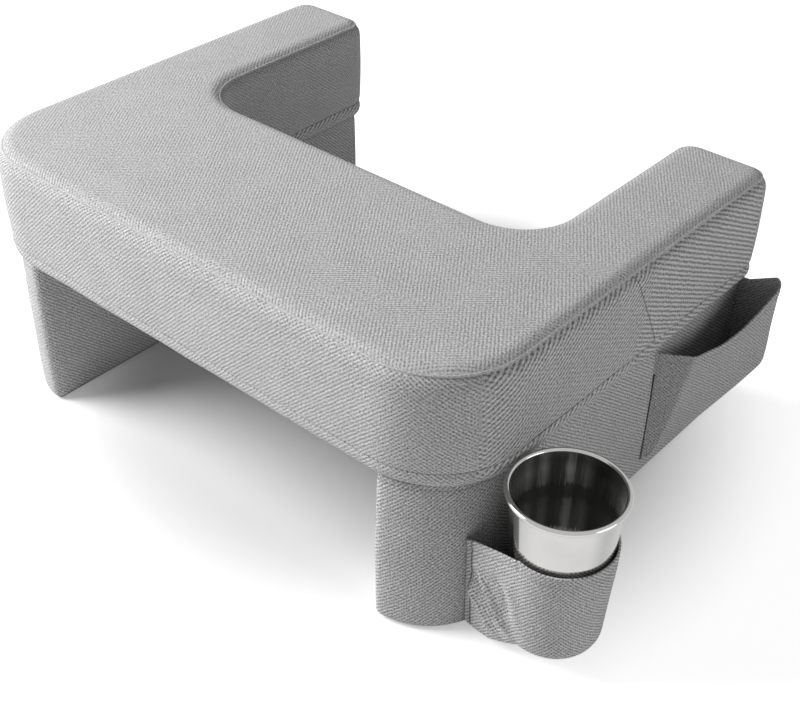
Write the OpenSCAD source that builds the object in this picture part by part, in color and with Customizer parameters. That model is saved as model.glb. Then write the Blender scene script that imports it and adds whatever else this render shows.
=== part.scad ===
// U-shaped foam arm tray: a padded slab on two padded legs, in a sewn fabric cover,
// with a drink pocket and its steel cup, and a book pocket on the right-hand side.
// X runs across the tray, Y from the front bar towards the sitter, Z up from the floor.

/* [Overall] */
// Width across both arms
tray_w = 700; // [640:10:780]
// Depth from the front of the bar to the ends of the arms
tray_d = 540; // [500:10:600]
// Height of the legs, floor to the underside of the slab
leg_h = 190; // [170:5:230]
// Thickness of the padded slab
slab_h = 134; // [110:2:150]

/* [Slab plan] */
// Width of one arm
arm_w = 112; // [104:2:140]
// Depth of the front bar
bar_d = 254; // [220:2:290]
// Plan radius of the two outer front corners
corner_r = 98; // [90:1:106]
// Plan radius of the two inner corners of the notch
notch_r = 62; // [30:1:80]
// Plan radius of the corners at the arm ends
arm_end_r = 24; // [22:1:36]
// Radius of the soft top edge
edge_r = 20; // [12:1:21]
// Radius of the rolled lower edge
roll_r = 14; // [8:1:16]
// Height of the lower edge band, seam to underside
band_h = 21; // [18:1:34]

/* [Legs] */
// Thickness of one leg, across the tray
leg_t = 86; // [76:1:92]
// How far a leg stands in from the side of the slab
leg_side_inset = 12; // [10:1:16]
// How far a leg stands in from the front and from the arm end
leg_end_inset = 5; // [5:1:8]
// Radius of the leg's inner upright edges
leg_edge_r = 9; // [5:1:14]
// Thickness of the grippy base panel
base_t = 3; // [2:0.5:5]

/* [Cover] */
// Thickness of the cover fabric with its backing
cover_t = 2; // [1.5:0.1:2.6]
// Ease between the foam and its cover
cover_ease = 0.3; // [0.2:0.1:0.6]
// Diameter of the welt sewn into the top seam
welt_d = 3; // [2:0.2:3.6]

/* [Zips] */
// Length of the zip under the front bar
under_zip_l = 400; // [300:10:420]
// Length of the upright zip at the end of each leg
leg_zip_l = 120; // [90:5:120]
// Height of the lower end of a leg zip above the floor
leg_zip_z = 38; // [34:1:46]
// Distance from the front of the bar to the zip beneath it
under_zip_y = 150; // [110:5:170]
// Width of one zip tape
tape_w = 13; // [10:0.5:15]
// Thickness of a zip tape
tape_t = 0.8; // [0.5:0.1:1]
// Width of one coil row
coil_w = 2.4; // [2:0.1:3]
// Height of a coil row on its tape
coil_t = 2; // [1.6:0.1:2.4]
// Length of a slider body
slider_l = 12; // [10:0.5:14]
// Thickness of a slider's plates
slider_plate_t = 1; // [0.8:0.1:1.2]
// Length of a pull tab
pull_l = 24; // [18:1:30]
// Width of a pull tab
pull_w = 6; // [5:0.5:6.5]
// Thickness of a pull tab
pull_t = 1.2; // [1:0.1:1.4]
// Diameter of the bar that a pull tab hangs on
pull_bar_d = 1.4; // [1.2:0.1:1.6]

/* [Cup] */
// Height of the cup
cup_h = 178; // [150:1:190]
// Radius of the cup's wall at the rim, outside
cup_top_r = 53; // [46:0.5:56]
// Radius of the cup's wall at the base, outside
cup_base_r = 42; // [36:0.5:45]
// Thickness of the cup's wall
cup_wall = 0.9; // [0.7:0.1:1.2]
// Radius of the rolled bead round the rim
bead_r = 2.6; // [1.8:0.1:3]
// Gap between the rolled rim and the slab's side
cup_side_gap = 2; // [1:0.5:8]

/* [Cup pocket] */
// Height of the pocket's floor above the ground
cup_pocket_z = 30; // [20:1:40]
// Height of the pocket, floor to mouth
cup_pocket_h = 118; // [90:1:120]
// Ease between the cup and the pocket's wall
cup_pocket_ease = 2.5; // [1:0.5:4]
// Thickness of the pocket fabric
pocket_t = 2.5; // [2:0.1:3]
// Distance from the front of the tray to the cup's axis
cup_back = 90; // [86:1:120]
// Angle between the pocket's front side and the front of the tray, in degrees
cup_pocket_turn = 9; // [0:1:14]
// Height of the turned hem at a pocket's mouth
pocket_hem_h = 12; // [8:1:16]
// How far a turned hem stands out from the pocket
pocket_hem_out = 1; // [0.6:0.1:1.5]

/* [Book pocket] */
// Length of the pocket along the tray, front seam to rear seam
book_l = 172; // [160:1:190]
// Distance from the arm end to the pocket's rear seam
book_rear_gap = 8; // [6:1:20]
// Distance from the front seam back to the fold in the panel
book_fold_in = 28; // [20:1:40]
// How far the pocket stands out at that fold
book_fold_out = 30; // [22:1:36]
// How far the pocket stands out at its rear corner
book_reach = 55; // [45:1:66]
// Height of the pocket's bottom seam on the leg
book_z = 12; // [8:1:16]
// Height of the pocket's lower rear corner
book_corner_z = 96; // [80:1:110]
// Drop from the slab's underside to the mouth at the front seam
book_front_drop = 6; // [5:1:18]
// Rise from the slab's underside to the mouth at the rear corner
book_rear_rise = 15; // [0:1:25]

/* [Hidden] */
$fn = 96;
eps = 0.01;
cut = 1;                                        // how far a cut passes the face that it cuts
far = 3 * (tray_w + tray_d);

half_w = tray_w / 2;
half_d = tray_d / 2;
slab_top = leg_h + slab_h;
notch_half = half_w - arm_w;
notch_y = -half_d + bar_d;
band_top = leg_h + band_h;

// The soft edge: the seam runs at mid-turn, and the welt takes its share of the turn
seam_turn = 45;
welt_at = edge_r - cover_t + welt_d / 2;
welt_turn = asin(welt_d / 2 / welt_at);

leg_out = half_w - leg_side_inset;
leg_in = leg_out - leg_t;
leg_corner_r = min(corner_r - leg_side_inset, leg_t);
leg_corner_x = leg_out - leg_corner_r;
leg_corner_y = -half_d + leg_end_inset + leg_corner_r;
leg_end_y = half_d - leg_end_inset;

// Zips: heights across a zip, outwards from the outer face of the panel that it closes
zip_gap = 1;                                    // between the two rows, for the slider's post
zip_fit = 0.3;                                  // running clearance round a slider
tape_over = 1.5;                                // tape past each end of the coils, sewn behind the cover
zip_coil_lo = -cover_t;
zip_tape_lo = zip_coil_lo - tape_t;
zip_coil_hi = zip_coil_lo + coil_t;
slider_w = zip_gap + 2 * coil_w + 2 * zip_fit + 2 * slider_plate_t;
slider_ear_l = 2.4;
slider_post_fit = 0.2;
zip_slot_fit = 1;                               // room between a slider and each side of its slot
zip_slot = slider_w + 2 * zip_slot_fit;
slider_top = zip_coil_hi + zip_fit + slider_plate_t;
slider_bottom = zip_tape_lo - zip_fit - slider_plate_t;
pull_eye_r = pull_bar_d / 2 + 0.08;
pull_eye_out = pull_eye_r + 0.6;
pull_pin_h = slider_top + slider_post_fit + pull_eye_out;
pull_hole_d = 2.2;
pull_hole_in = 5;                               // from the tab's end to its hole
stop_l = 4;
stop_t = 0.8;
zip_clear = 0.6;                                // room under a slider, and over the tapes inside it
slider_rest = 1;                                // from a stop to the slider beside it
foam_relief = -slider_bottom + zip_clear;       // depth of the channel in the foam behind a zip
relief_fit = 1;                                 // room round the tapes in that channel

rim_out = cup_top_r - cup_wall + 2 * bead_r;
cup_x = half_w + cup_side_gap + rim_out;
cup_y = -half_d + cup_back;
cup_z = cup_pocket_z + 0.2;
cup_foot_turn = 4;                              // chamfer round the cup's foot
// Radius of the cup's wall at the pocket's mouth, and the pocket round it
cup_mouth_r = cup_base_r + (cup_top_r - cup_base_r) * min(1, cup_pocket_h / cup_h);
cup_pocket_in = cup_mouth_r + cup_pocket_ease;
cup_pocket_out = cup_pocket_in + pocket_t;

book_rear_y = leg_end_y - book_rear_gap;
book_front = book_rear_y - book_l;
book_out = leg_out + book_reach;
book_corner_r = 12;
book_mouth_front_z = leg_h - book_front_drop;
book_mouth_rear_z = leg_h + book_rear_rise;

// The overall box reaches from the left side to the farthest pocket or rim
right_reach = max(cup_x + max(rim_out, cup_pocket_out + pocket_hem_out), book_out + pocket_hem_out);
frame_shift = (right_reach - half_w) / 2;

cover_grey = [0.66, 0.66, 0.67];
seam_grey = [0.74, 0.74, 0.75];
foam_cream = [0.93, 0.90, 0.80];
zip_grey = [0.45, 0.45, 0.47];
steel = [0.80, 0.81, 0.82];

// Square corner piece outside a quarter circle, for rounding the corner at the origin
module corner_cut(r) {
    difference() {
        translate([-cut, -cut]) square(r + cut);
        translate([r, r]) circle(r);
        translate([0, r]) square(r + cut);
        translate([r, 0]) square(r + cut);
    }
}

// Plan of the slab, drawn in by i from its outline
module slab_plan(i) {
    difference() {
        translate([-half_w + i, -half_d + i]) square([tray_w - 2 * i, tray_d - 2 * i]);
        for (s = [0, 1]) mirror([s, 0]) {
            translate([-half_w + i, -half_d + i]) corner_cut(corner_r - i);
            translate([-half_w + i, half_d - i]) rotate(-90) corner_cut(arm_end_r - i);
            translate([-notch_half - i, half_d - i]) rotate(180) corner_cut(arm_end_r - i);
        }
        notch_plan(i);
    }
}

// Plan of the notch between the arms, grown by i into the slab
module notch_plan(i) {
    difference() {
        translate([-notch_half - i, notch_y - i]) square([2 * (notch_half + i), tray_d]);
        for (s = [0, 1]) mirror([s, 0])
            translate([-notch_half - i, notch_y - i]) corner_cut(notch_r + i);
    }
}

// Sweeps a profile (x outwards from the outline, y up) along straight pieces and arcs of the outline
module run(x, y, facing, length) {
    translate([x, y, 0]) rotate([0, 0, facing]) rotate([90, 0, 0]) linear_extrude(length) children();
}

module turn_out(x, y, start, r) {
    translate([x, y, 0]) rotate([0, 0, start]) rotate_extrude(angle = 90) translate([r, 0]) children();
}

module turn_in(x, y, start, r) {
    translate([x, y, 0]) rotate([0, 0, start]) rotate_extrude(angle = 90)
        translate([r, 0]) mirror([1, 0]) children();
}

module outer_path() {
    run(-half_w, -half_d + corner_r, 180, tray_d - corner_r - arm_end_r) children();
    turn_out(-half_w + corner_r, -half_d + corner_r, 180, corner_r) children();
    run(half_w - corner_r, -half_d, 270, tray_w - 2 * corner_r) children();
    turn_out(half_w - corner_r, -half_d + corner_r, 270, corner_r) children();
    run(half_w, half_d - arm_end_r, 0, tray_d - corner_r - arm_end_r) children();
}

module inner_path() {
    run(notch_half, notch_y + notch_r, 180, tray_d - bar_d - notch_r - arm_end_r) children();
    turn_in(notch_half - notch_r, notch_y + notch_r, 270, notch_r) children();
    run(-notch_half + notch_r, notch_y, 90, 2 * (notch_half - notch_r)) children();
    turn_in(-notch_half + notch_r, notch_y + notch_r, 180, notch_r) children();
    run(-notch_half, half_d - arm_end_r, 0, tray_d - bar_d - notch_r - arm_end_r) children();
}

// End of the right-hand arm; the left one is its mirror image
module arm_end_path() {
    turn_out(half_w - arm_end_r, half_d - arm_end_r, 0, arm_end_r) children();
    run(half_w - arm_w + arm_end_r, half_d, 90, arm_w - 2 * arm_end_r) children();
    turn_out(half_w - arm_w + arm_end_r, half_d - arm_end_r, 90, arm_end_r) children();
}

module whole_path() {
    outer_path() children();
    inner_path() children();
    arm_end_path() children();
    mirror([1, 0, 0]) arm_end_path() children();
}

// Soft top edge, drawn in by i, from height lo up to the crown
module top_edge_profile(i, lo) {
    translate([-edge_r, slab_top - edge_r]) intersection() {
        circle(edge_r - i);
        square(edge_r);
    }
    translate([-edge_r, lo]) square([edge_r - i, slab_top - edge_r - lo]);
}

// Everything above (side = 1) or below (side = -1) a ray from the centre of the soft edge
module edge_side(angle, side) {
    translate([-edge_r, slab_top - edge_r]) rotate(angle)
        translate([-far / 2, side > 0 ? 0 : -far]) square([far, far]);
}

module side_band_profile() {
    intersection() {
        difference() {
            top_edge_profile(0, band_top);
            top_edge_profile(cover_t, band_top - cut);
        }
        edge_side(seam_turn - welt_turn, -1);
    }
}

module top_edge_strip_profile() {
    intersection() {
        difference() {
            top_edge_profile(0, band_top);
            top_edge_profile(cover_t, band_top - cut);
        }
        edge_side(seam_turn + welt_turn, 1);
    }
}

module lower_band_profile() {
    translate([-roll_r, leg_h + roll_r]) difference() {
        intersection() {
            circle(roll_r);
            translate([0, -roll_r]) square(roll_r);
        }
        circle(roll_r - cover_t);
    }
    translate([-cover_t, leg_h + roll_r]) square([cover_t, band_h - roll_r]);
}

module welt_profile() {
    translate([-edge_r, slab_top - edge_r]) rotate(seam_turn)
        translate([welt_at, 0]) circle(d = welt_d, $fn = 32);
}

// Plan of the right-hand leg, drawn in by i
module leg_plan(i) {
    edge = leg_edge_r - min(i, leg_edge_r * 0.8);
    r = leg_corner_r - i;
    inner = leg_in + i;
    // Centre of the small round at the inner front edge, tangent to the face and to the big corner
    edge_x = inner + edge;
    edge_y = leg_corner_y - sqrt(pow(r - edge, 2) - pow(edge_x - leg_corner_x, 2));
    difference() {
        translate([inner, leg_corner_y - r]) square([leg_t - 2 * i, leg_end_y - leg_corner_y + r - i]);
        translate([leg_out - i, leg_corner_y - r]) rotate(90) corner_cut(r);
        translate([inner - cut, leg_corner_y - r - cut])
            square([edge + cut, edge_y - leg_corner_y + r + cut]);
        translate([inner, leg_end_y - i]) rotate(-90) corner_cut(edge);
        translate([leg_out - i, leg_end_y - i]) rotate(180) corner_cut(edge);
    }
    translate([edge_x, edge_y]) circle(edge);
}

// Puts a zip's own frame (X along the zip, Y across it, Z outwards) on the underside of the bar
module on_underside() {
    translate([0, -half_d + under_zip_y, leg_h]) rotate([180, 0, 0]) children();
}

// The same on the end face of the right-hand leg: X runs up the leg
module on_leg_end() {
    translate([leg_in + leg_t / 2, leg_end_y, leg_zip_z + leg_zip_l / 2])
        rotate([-90, 0, 0]) rotate([0, 0, -90]) children();
}

module zip_slot_cut(length) {
    slot_l = length + 2 * zip_fit;
    translate([-slot_l / 2, -zip_slot / 2, -cover_t - cut]) cube([slot_l, zip_slot, cover_t + 2 * cut]);
}

// Channel in the foam behind a zip
module zip_relief_cut(length) {
    w = zip_gap + 2 * (coil_w + tape_w + relief_fit);
    relief_l = length + 2 * (tape_over + relief_fit);
    translate([-relief_l / 2, -w / 2, -foam_relief]) cube([relief_l, w, foam_relief + cut]);
}

module zip_tape(length, side) {
    low = side > 0 ? zip_gap / 2 : -zip_gap / 2 - tape_w - coil_w;
    translate([-length / 2 - tape_over, low, zip_tape_lo])
        cube([length + 2 * tape_over, tape_w + coil_w, tape_t]);
}

module zip_coil(length, side) {
    translate([-length / 2, side > 0 ? zip_gap / 2 : -zip_gap / 2 - coil_w, zip_coil_lo])
        cube([length, coil_w, coil_t]);
}

// Metal clips over both rows at the two ends
module zip_stops(length) {
    for (s = [-1, 1])
        translate([s * (length / 2 - stop_l / 2) - stop_l / 2, -zip_gap / 2 - coil_w, zip_coil_hi])
            cube([stop_l, zip_gap + 2 * coil_w, stop_t]);
}

// Slider at the closed end: two plates joined by a post that runs between the rows
module zip_slider(length) {
    x = length / 2 - stop_l - slider_rest - slider_l;
    flange_h = coil_t + zip_fit - zip_clear;
    side_y = (slider_w - slider_plate_t) / 2;
    translate([x, -slider_w / 2, slider_top - slider_plate_t]) cube([slider_l, slider_w, slider_plate_t]);
    for (s = [-1, 1])
        translate([x, s * side_y - slider_plate_t / 2, slider_top - slider_plate_t - flange_h])
            cube([slider_l, slider_plate_t, flange_h + eps]);
    translate([x, -slider_w / 2, slider_bottom]) cube([slider_l, slider_w, slider_plate_t]);
    translate([x + slider_l / 4, -zip_gap / 2 + slider_post_fit, slider_bottom + slider_plate_t - eps])
        cube([
            slider_l / 2, zip_gap - 2 * slider_post_fit,
            slider_top - slider_bottom - 2 * slider_plate_t + 2 * eps
        ]);
    // Two ears and the bar that carries the pull tab
    translate([x + slider_l / 2, 0, pull_pin_h]) rotate([90, 0, 0])
        cylinder(d = pull_bar_d, h = slider_w, center = true, $fn = 32);
    for (s = [-1, 1])
        translate([
            x + slider_l / 2 - slider_ear_l / 2,
            s * side_y - slider_plate_t / 2, slider_top - eps
        ])
            cube([slider_ear_l, slider_plate_t, pull_pin_h - slider_top + pull_bar_d / 2]);
}

// Pull tab on its bar; lies along the zip towards the open end, or stands out from the face
module zip_pull(length, standing) {
    x = length / 2 - stop_l - slider_rest - slider_l / 2;
    body_w = min(pull_w, slider_w - 2 * slider_plate_t - 2 * zip_fit);
    translate([x, 0, pull_pin_h]) rotate([0, standing ? 90 : 0, 0]) difference() {
        union() {
            translate([-pull_l, -body_w / 2, -pull_t / 2]) cube([pull_l, body_w, pull_t]);
            rotate([90, 0, 0]) cylinder(r = pull_eye_out, h = body_w, center = true, $fn = 48);
        }
        rotate([90, 0, 0]) cylinder(r = pull_eye_r, h = body_w + cut, center = true, $fn = 32);
        translate([-pull_l + pull_hole_in, 0, 0])
            cylinder(d = pull_hole_d, h = pull_t + cut, center = true, $fn = 32);
    }
}

module top_foam() {
    skin = cover_t + cover_ease;
    difference() {
        union() {
            translate([0, 0, leg_h + skin]) linear_extrude(roll_r - skin + eps) slab_plan(roll_r);
            translate([0, 0, leg_h + roll_r]) linear_extrude(slab_h - roll_r - edge_r) slab_plan(skin);
            translate([0, 0, slab_top - edge_r - eps])
                linear_extrude(edge_r - skin + eps) slab_plan(edge_r);
            whole_path() translate([-edge_r, slab_top - edge_r]) intersection() {
                circle(edge_r - skin);
                square(edge_r);
            }
            whole_path() translate([-roll_r, leg_h + roll_r]) intersection() {
                circle(roll_r - skin);
                translate([0, -roll_r]) square(roll_r);
            }
        }
        on_underside() zip_relief_cut(under_zip_l);
    }
}

module leg_foam() {
    skin = cover_t + cover_ease;
    difference() {
        translate([0, 0, base_t + cover_ease])
            linear_extrude(leg_h - base_t - 2 * cover_ease) leg_plan(skin);
        on_leg_end() zip_relief_cut(leg_zip_l);
    }
}

module leg_wrap() {
    difference() {
        translate([0, 0, base_t]) linear_extrude(leg_h - base_t) difference() {
            leg_plan(0);
            leg_plan(cover_t);
        }
        on_leg_end() zip_slot_cut(leg_zip_l);
    }
}

module leg_base() {
    linear_extrude(base_t) leg_plan(0);
}

// Plan of the cup pocket: round the cup, with straight sides running to the leg, the front one turned
module cup_pocket_plan(r) {
    reach = cup_x - leg_corner_x;
    front_reach = reach - r * sin(cup_pocket_turn);
    translate([cup_x, cup_y]) {
        circle(r);
        translate([-reach, 0]) square([reach, r]);
        rotate(-cup_pocket_turn) translate([-front_reach, -r]) square([front_reach, r]);
    }
}

module steel_cup() {
    translate([cup_x, cup_y, cup_z]) rotate_extrude() {
        polygon([
            [0, 0], [cup_base_r - cup_foot_turn, 0],
            [cup_base_r, cup_foot_turn], [cup_top_r, cup_h - bead_r],
            [cup_top_r - cup_wall, cup_h - bead_r], [cup_base_r - cup_wall, cup_foot_turn + cup_wall],
            [cup_base_r - cup_foot_turn - cup_wall / 2, cup_wall], [0, cup_wall]
        ]);
        translate([cup_top_r + bead_r - cup_wall, cup_h - bead_r]) circle(bead_r, $fn = 48);
    }
}

// Plan of the book pocket, drawn in by i: out to the fold, on to the rear corner and back to the leg
module book_plan(i) {
    front_turn = atan2(book_fold_out, book_fold_in);
    side_l = book_l - book_corner_r - book_fold_in;
    side_turn = atan2(book_reach - book_fold_out, side_l);
    difference() {
        translate([leg_out, book_front]) square([book_reach - i, book_l - i]);
        translate([leg_out, book_front]) rotate(-front_turn)
            translate([-i, -far / 2]) square([far, far]);
        translate([leg_out + book_fold_out, book_front + book_fold_in]) rotate(-side_turn)
            translate([-i, -far / 2]) square([far, far]);
        translate([book_out - i, book_rear_y - i]) rotate(180) corner_cut(book_corner_r - i);
    }
}

// Space above the pocket's sloping floor, raised by lift, and under its mouth, lowered by drop
module book_space(lift, drop) {
    over = book_reach;                          // how far the space runs past the pocket each way
    rise = (book_corner_z - book_z) / book_reach;
    slope = (book_mouth_rear_z - book_mouth_front_z) / (book_rear_y - book_front);
    intersection() {
        translate([0, book_rear_y + over, 0]) rotate([90, 0, 0])
            linear_extrude(book_rear_y - book_front + 2 * over)
                polygon([
                    [leg_out - cut, book_z - rise * cut + lift],
                    [book_out + over, book_corner_z + over * rise + lift],
                    [book_out + over, far], [leg_out - cut, far]
                ]);
        translate([leg_out - 2 * cut, 0, 0]) rotate([90, 0, 90]) linear_extrude(book_reach + over)
            polygon([
                [book_front - over, 0], [book_rear_y + over, 0],
                [book_rear_y + over, book_mouth_rear_z + over * slope - drop],
                [book_front - over, book_mouth_front_z - over * slope - drop]
            ]);
    }
}

// The room that the slab takes over the pocket's inner end
module slab_room() {
    translate([0, 0, leg_h]) linear_extrude(slab_h) slab_plan(0);
}

module arm_end_panel() {
    color(cover_grey) arm_end_path() side_band_profile();
}

module top_panel() {
    color(cover_grey) {
        translate([0, 0, slab_top - cover_t]) linear_extrude(cover_t) slab_plan(edge_r);
        whole_path() top_edge_strip_profile();
    }
}

module underside_panel() {
    color(cover_grey) difference() {
        translate([0, 0, leg_h]) linear_extrude(cover_t) slab_plan(roll_r);
        on_underside() zip_slot_cut(under_zip_l);
    }
}

module cup_pocket_wall() {
    color(cover_grey) translate([0, 0, cup_pocket_z - pocket_t])
        linear_extrude(cup_pocket_h + pocket_t) difference() {
            cup_pocket_plan(cup_pocket_out);
            cup_pocket_plan(cup_pocket_in);
            leg_plan(0);
        }
}

module cup_pocket_floor() {
    color(cover_grey) translate([0, 0, cup_pocket_z - pocket_t]) linear_extrude(pocket_t) difference() {
        cup_pocket_plan(cup_pocket_in);
        leg_plan(0);
    }
}

module cup_pocket_hem() {
    color(seam_grey) translate([0, 0, cup_pocket_z + cup_pocket_h - pocket_hem_h])
        linear_extrude(pocket_hem_h) difference() {
            cup_pocket_plan(cup_pocket_out + pocket_hem_out);
            cup_pocket_plan(cup_pocket_out);
            leg_plan(0);
        }
}

module book_pocket_panel() {
    color(cover_grey) difference() {
        intersection() {
            linear_extrude(far) difference() {
                book_plan(0);
                book_plan(pocket_t);
            }
            book_space(0, 0);
        }
        slab_room();
    }
}

module book_pocket_floor() {
    color(cover_grey) intersection() {
        linear_extrude(far) book_plan(pocket_t);
        difference() {
            book_space(0, 0);
            book_space(pocket_t * 2, 0);
        }
    }
}

module book_pocket_hem() {
    color(seam_grey) intersection() {
        linear_extrude(far) difference() {
            book_plan(-pocket_hem_out);
            book_plan(0);
        }
        difference() {
            book_space(0, 0);
            book_space(-far / 2, pocket_hem_h);
            slab_room();
        }
    }
}

// One zip's pieces, by name, in the zip's own frame
module zip_piece(piece, length, standing) {
    if (piece == "tape_a") color(zip_grey) zip_tape(length, 1);
    if (piece == "tape_b") color(zip_grey) zip_tape(length, -1);
    if (piece == "coil_a") color(zip_grey) zip_coil(length, 1);
    if (piece == "coil_b") color(zip_grey) zip_coil(length, -1);
    if (piece == "stops") color(steel) zip_stops(length);
    if (piece == "slider") color(steel) zip_slider(length);
    if (piece == "pull") color(steel) zip_pull(length, standing);
}

module under_zip(piece) {
    on_underside() zip_piece(piece, under_zip_l, true);
}

module leg_zip(piece) {
    on_leg_end() zip_piece(piece, leg_zip_l, false);
}

// Sets a piece in the part's frame: origin under the middle of the overall box, on the floor
module place() {
    translate([-frame_shift, 0, 0]) children();
}

module left() {
    mirror([1, 0, 0]) children();
}

place() color(foam_cream) top_foam();  // top_foam_core
place() left() color(foam_cream) leg_foam();  // left_leg_foam
place() color(foam_cream) leg_foam();  // right_leg_foam
place() top_panel();
place() color(cover_grey) outer_path() side_band_profile();  // outer_side_band
place() color(cover_grey) inner_path() side_band_profile();  // inner_side_band
place() left() arm_end_panel();  // left_arm_end_panel
place() arm_end_panel();  // right_arm_end_panel
place() color(cover_grey) whole_path() lower_band_profile();  // lower_edge_band
place() color(seam_grey) whole_path() welt_profile();  // top_edge_welt
place() underside_panel();
place() left() color(cover_grey) leg_wrap();  // left_leg_wrap
place() color(cover_grey) leg_wrap();  // right_leg_wrap
place() left() color(zip_grey) leg_base();  // left_leg_base
place() color(zip_grey) leg_base();  // right_leg_base
place() under_zip("tape_a");  // under_zip_front_tape
place() under_zip("tape_b");  // under_zip_rear_tape
place() under_zip("coil_a");  // under_zip_front_coil
place() under_zip("coil_b");  // under_zip_rear_coil
place() under_zip("stops");  // under_zip_stops
place() under_zip("slider");  // under_zip_slider
place() under_zip("pull");  // under_zip_pull
place() left() leg_zip("tape_a");  // left_zip_outer_tape
place() left() leg_zip("tape_b");  // left_zip_inner_tape
place() left() leg_zip("coil_a");  // left_zip_outer_coil
place() left() leg_zip("coil_b");  // left_zip_inner_coil
place() left() leg_zip("stops");  // left_zip_stops
place() left() leg_zip("slider");  // left_zip_slider
place() left() leg_zip("pull");  // left_zip_pull
place() leg_zip("tape_a");  // right_zip_outer_tape
place() leg_zip("tape_b");  // right_zip_inner_tape
place() leg_zip("coil_a");  // right_zip_outer_coil
place() leg_zip("coil_b");  // right_zip_inner_coil
place() leg_zip("stops");  // right_zip_stops
place() leg_zip("slider");  // right_zip_slider
place() leg_zip("pull");  // right_zip_pull
place() cup_pocket_wall();
place() cup_pocket_floor();
place() cup_pocket_hem();
place() color(steel) steel_cup();
place() book_pocket_panel();
place() book_pocket_floor();
place() book_pocket_hem();
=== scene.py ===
import math

import bpy
import numpy as np
from mathutils import Matrix, Vector, noise


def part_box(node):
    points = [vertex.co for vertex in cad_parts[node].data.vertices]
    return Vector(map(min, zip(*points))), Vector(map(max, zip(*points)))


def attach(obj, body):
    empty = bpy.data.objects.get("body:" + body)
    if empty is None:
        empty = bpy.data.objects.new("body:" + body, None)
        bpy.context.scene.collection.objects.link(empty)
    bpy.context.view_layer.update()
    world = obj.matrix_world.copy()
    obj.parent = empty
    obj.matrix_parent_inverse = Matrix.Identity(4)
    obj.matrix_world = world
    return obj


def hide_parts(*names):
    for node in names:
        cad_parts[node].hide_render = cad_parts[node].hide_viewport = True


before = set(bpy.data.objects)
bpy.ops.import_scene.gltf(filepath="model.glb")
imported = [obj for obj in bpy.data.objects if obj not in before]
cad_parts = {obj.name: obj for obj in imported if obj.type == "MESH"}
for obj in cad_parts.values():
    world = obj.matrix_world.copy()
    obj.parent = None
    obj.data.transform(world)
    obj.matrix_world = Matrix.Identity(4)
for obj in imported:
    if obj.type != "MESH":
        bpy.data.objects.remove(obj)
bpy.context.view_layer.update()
print("frame loaded,", len(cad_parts), "nodes")

# The photograph's view: where the camera stands, what it looks at and how it leans
viewpoint = {
    "target": (-0.0167, 0.0876, -0.0076),   # from the tray's middle
    "azimuth": 40.32,
    "elevation": 36.80,
    "lean": 1.12,
    "distance": 1.6808,
    "lens": 59.33,
}

studio = {
    "floorSize": 16.0,
    "floorColour": (0.86, 0.86, 0.86, 1),
    "glow": 0.78,             # what the camera sees on top of the lit floor, away from the tray
    "glowFrom": 0.25,         # where it begins, from the middle
    "glowTo": 0.53,
    "whiteFrom": 0.9,         # and from here on the floor turns white
    "whiteTo": 2.1,
    "skyLight": 0.11,         # light from all round, for everything but the camera
    "keyPower": 126,          # large soft lamp, high on the left
    "keySize": 1.9,
    "keyPlace": (-2.1, -1.5, 2.05),
    "fillPower": 12,          # weaker lamp on the right
    "fillSize": 1.4,
    "fillPlace": (2.4, 0.2, 0.75),
}

# The slab's cover; its reach comes from the frame
slab = {
    "cornerRadius": 0.098,
    "notchRadius": 0.062,
    "armEndRadius": 0.024,
    "softEdge": 0.020,
    "roll": 0.014,
    "notchFront": -0.016,
    "clothThickness": 0.0018,
    "step": 0.006,
    "swell": 0.0012,          # how far the foam presses a band out between its seams
    "tuck": 0.0016,           # how far cloth is drawn in at a seam
    "pucker": 0.00035,
    "softSeam": 0.35,         # how deep the seams are at the front and left, of their depth on the right
    "dart": ((-0.001, 0.318), (0.064, 0.196)),
}

legs = {
    "frontRadius": 0.086,
    "edgeRadius": 0.009,
    "step": 0.006,
    "swell": 0.0012,
    "tuck": 0.0016,
    "slotRoom": 0.001,        # between a zip's slider and the cloth on each side of it
    "slotEnd": 0.0003,        # and past each end of its rows
    "slotFlat": 0.014,        # how far from the slot the cloth stays flat
    "slotSeam": 0.003,        # from the slot to the stitches beside it
}

cup = {
    "wall": 0.0009,
    "bead": 0.0029,
    "baseRadius": 0.042,
    "topRadius": 0.053,
    "footTurn": 0.004,
    "steps": 128,
}

cupPocket = {
    "frontTurn": 12,          # how far the front side turns back towards the leg, in degrees
    "taper": 0.0065,          # how much narrower the pocket is at the bottom
    "bottomTurn": 0.014,
    "mouthDip": 0.027,        # how much lower the mouth is at the front seam
    "footDip": 0.023,         # and the lower edge
    "mouthDraw": 0.0014,      # how far the hem is drawn in round the cup
    "hemHeight": 0.012,
    "step": 0.002,
    "folds": (                # height, width, then the places it runs through: along from the seam, down
        (0.0058, 0.0038, ((0.004, 0.052), (0.020, 0.078), (0.048, 0.114))),
        (0.0062, 0.0038, ((0.016, 0.024), (0.036, 0.058), (0.048, 0.081), (0.064, 0.106))),
        (-0.0040, 0.0040, ((0.008, 0.036), (0.028, 0.067), (0.050, 0.099))),
        (-0.0030, 0.0046, ((0.038, 0.030), (0.052, 0.053), (0.062, 0.084))),
        (0.0020, 0.0060, ((0.056, 0.030), (0.066, 0.056), (0.074, 0.090))),
    ),
}

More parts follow.
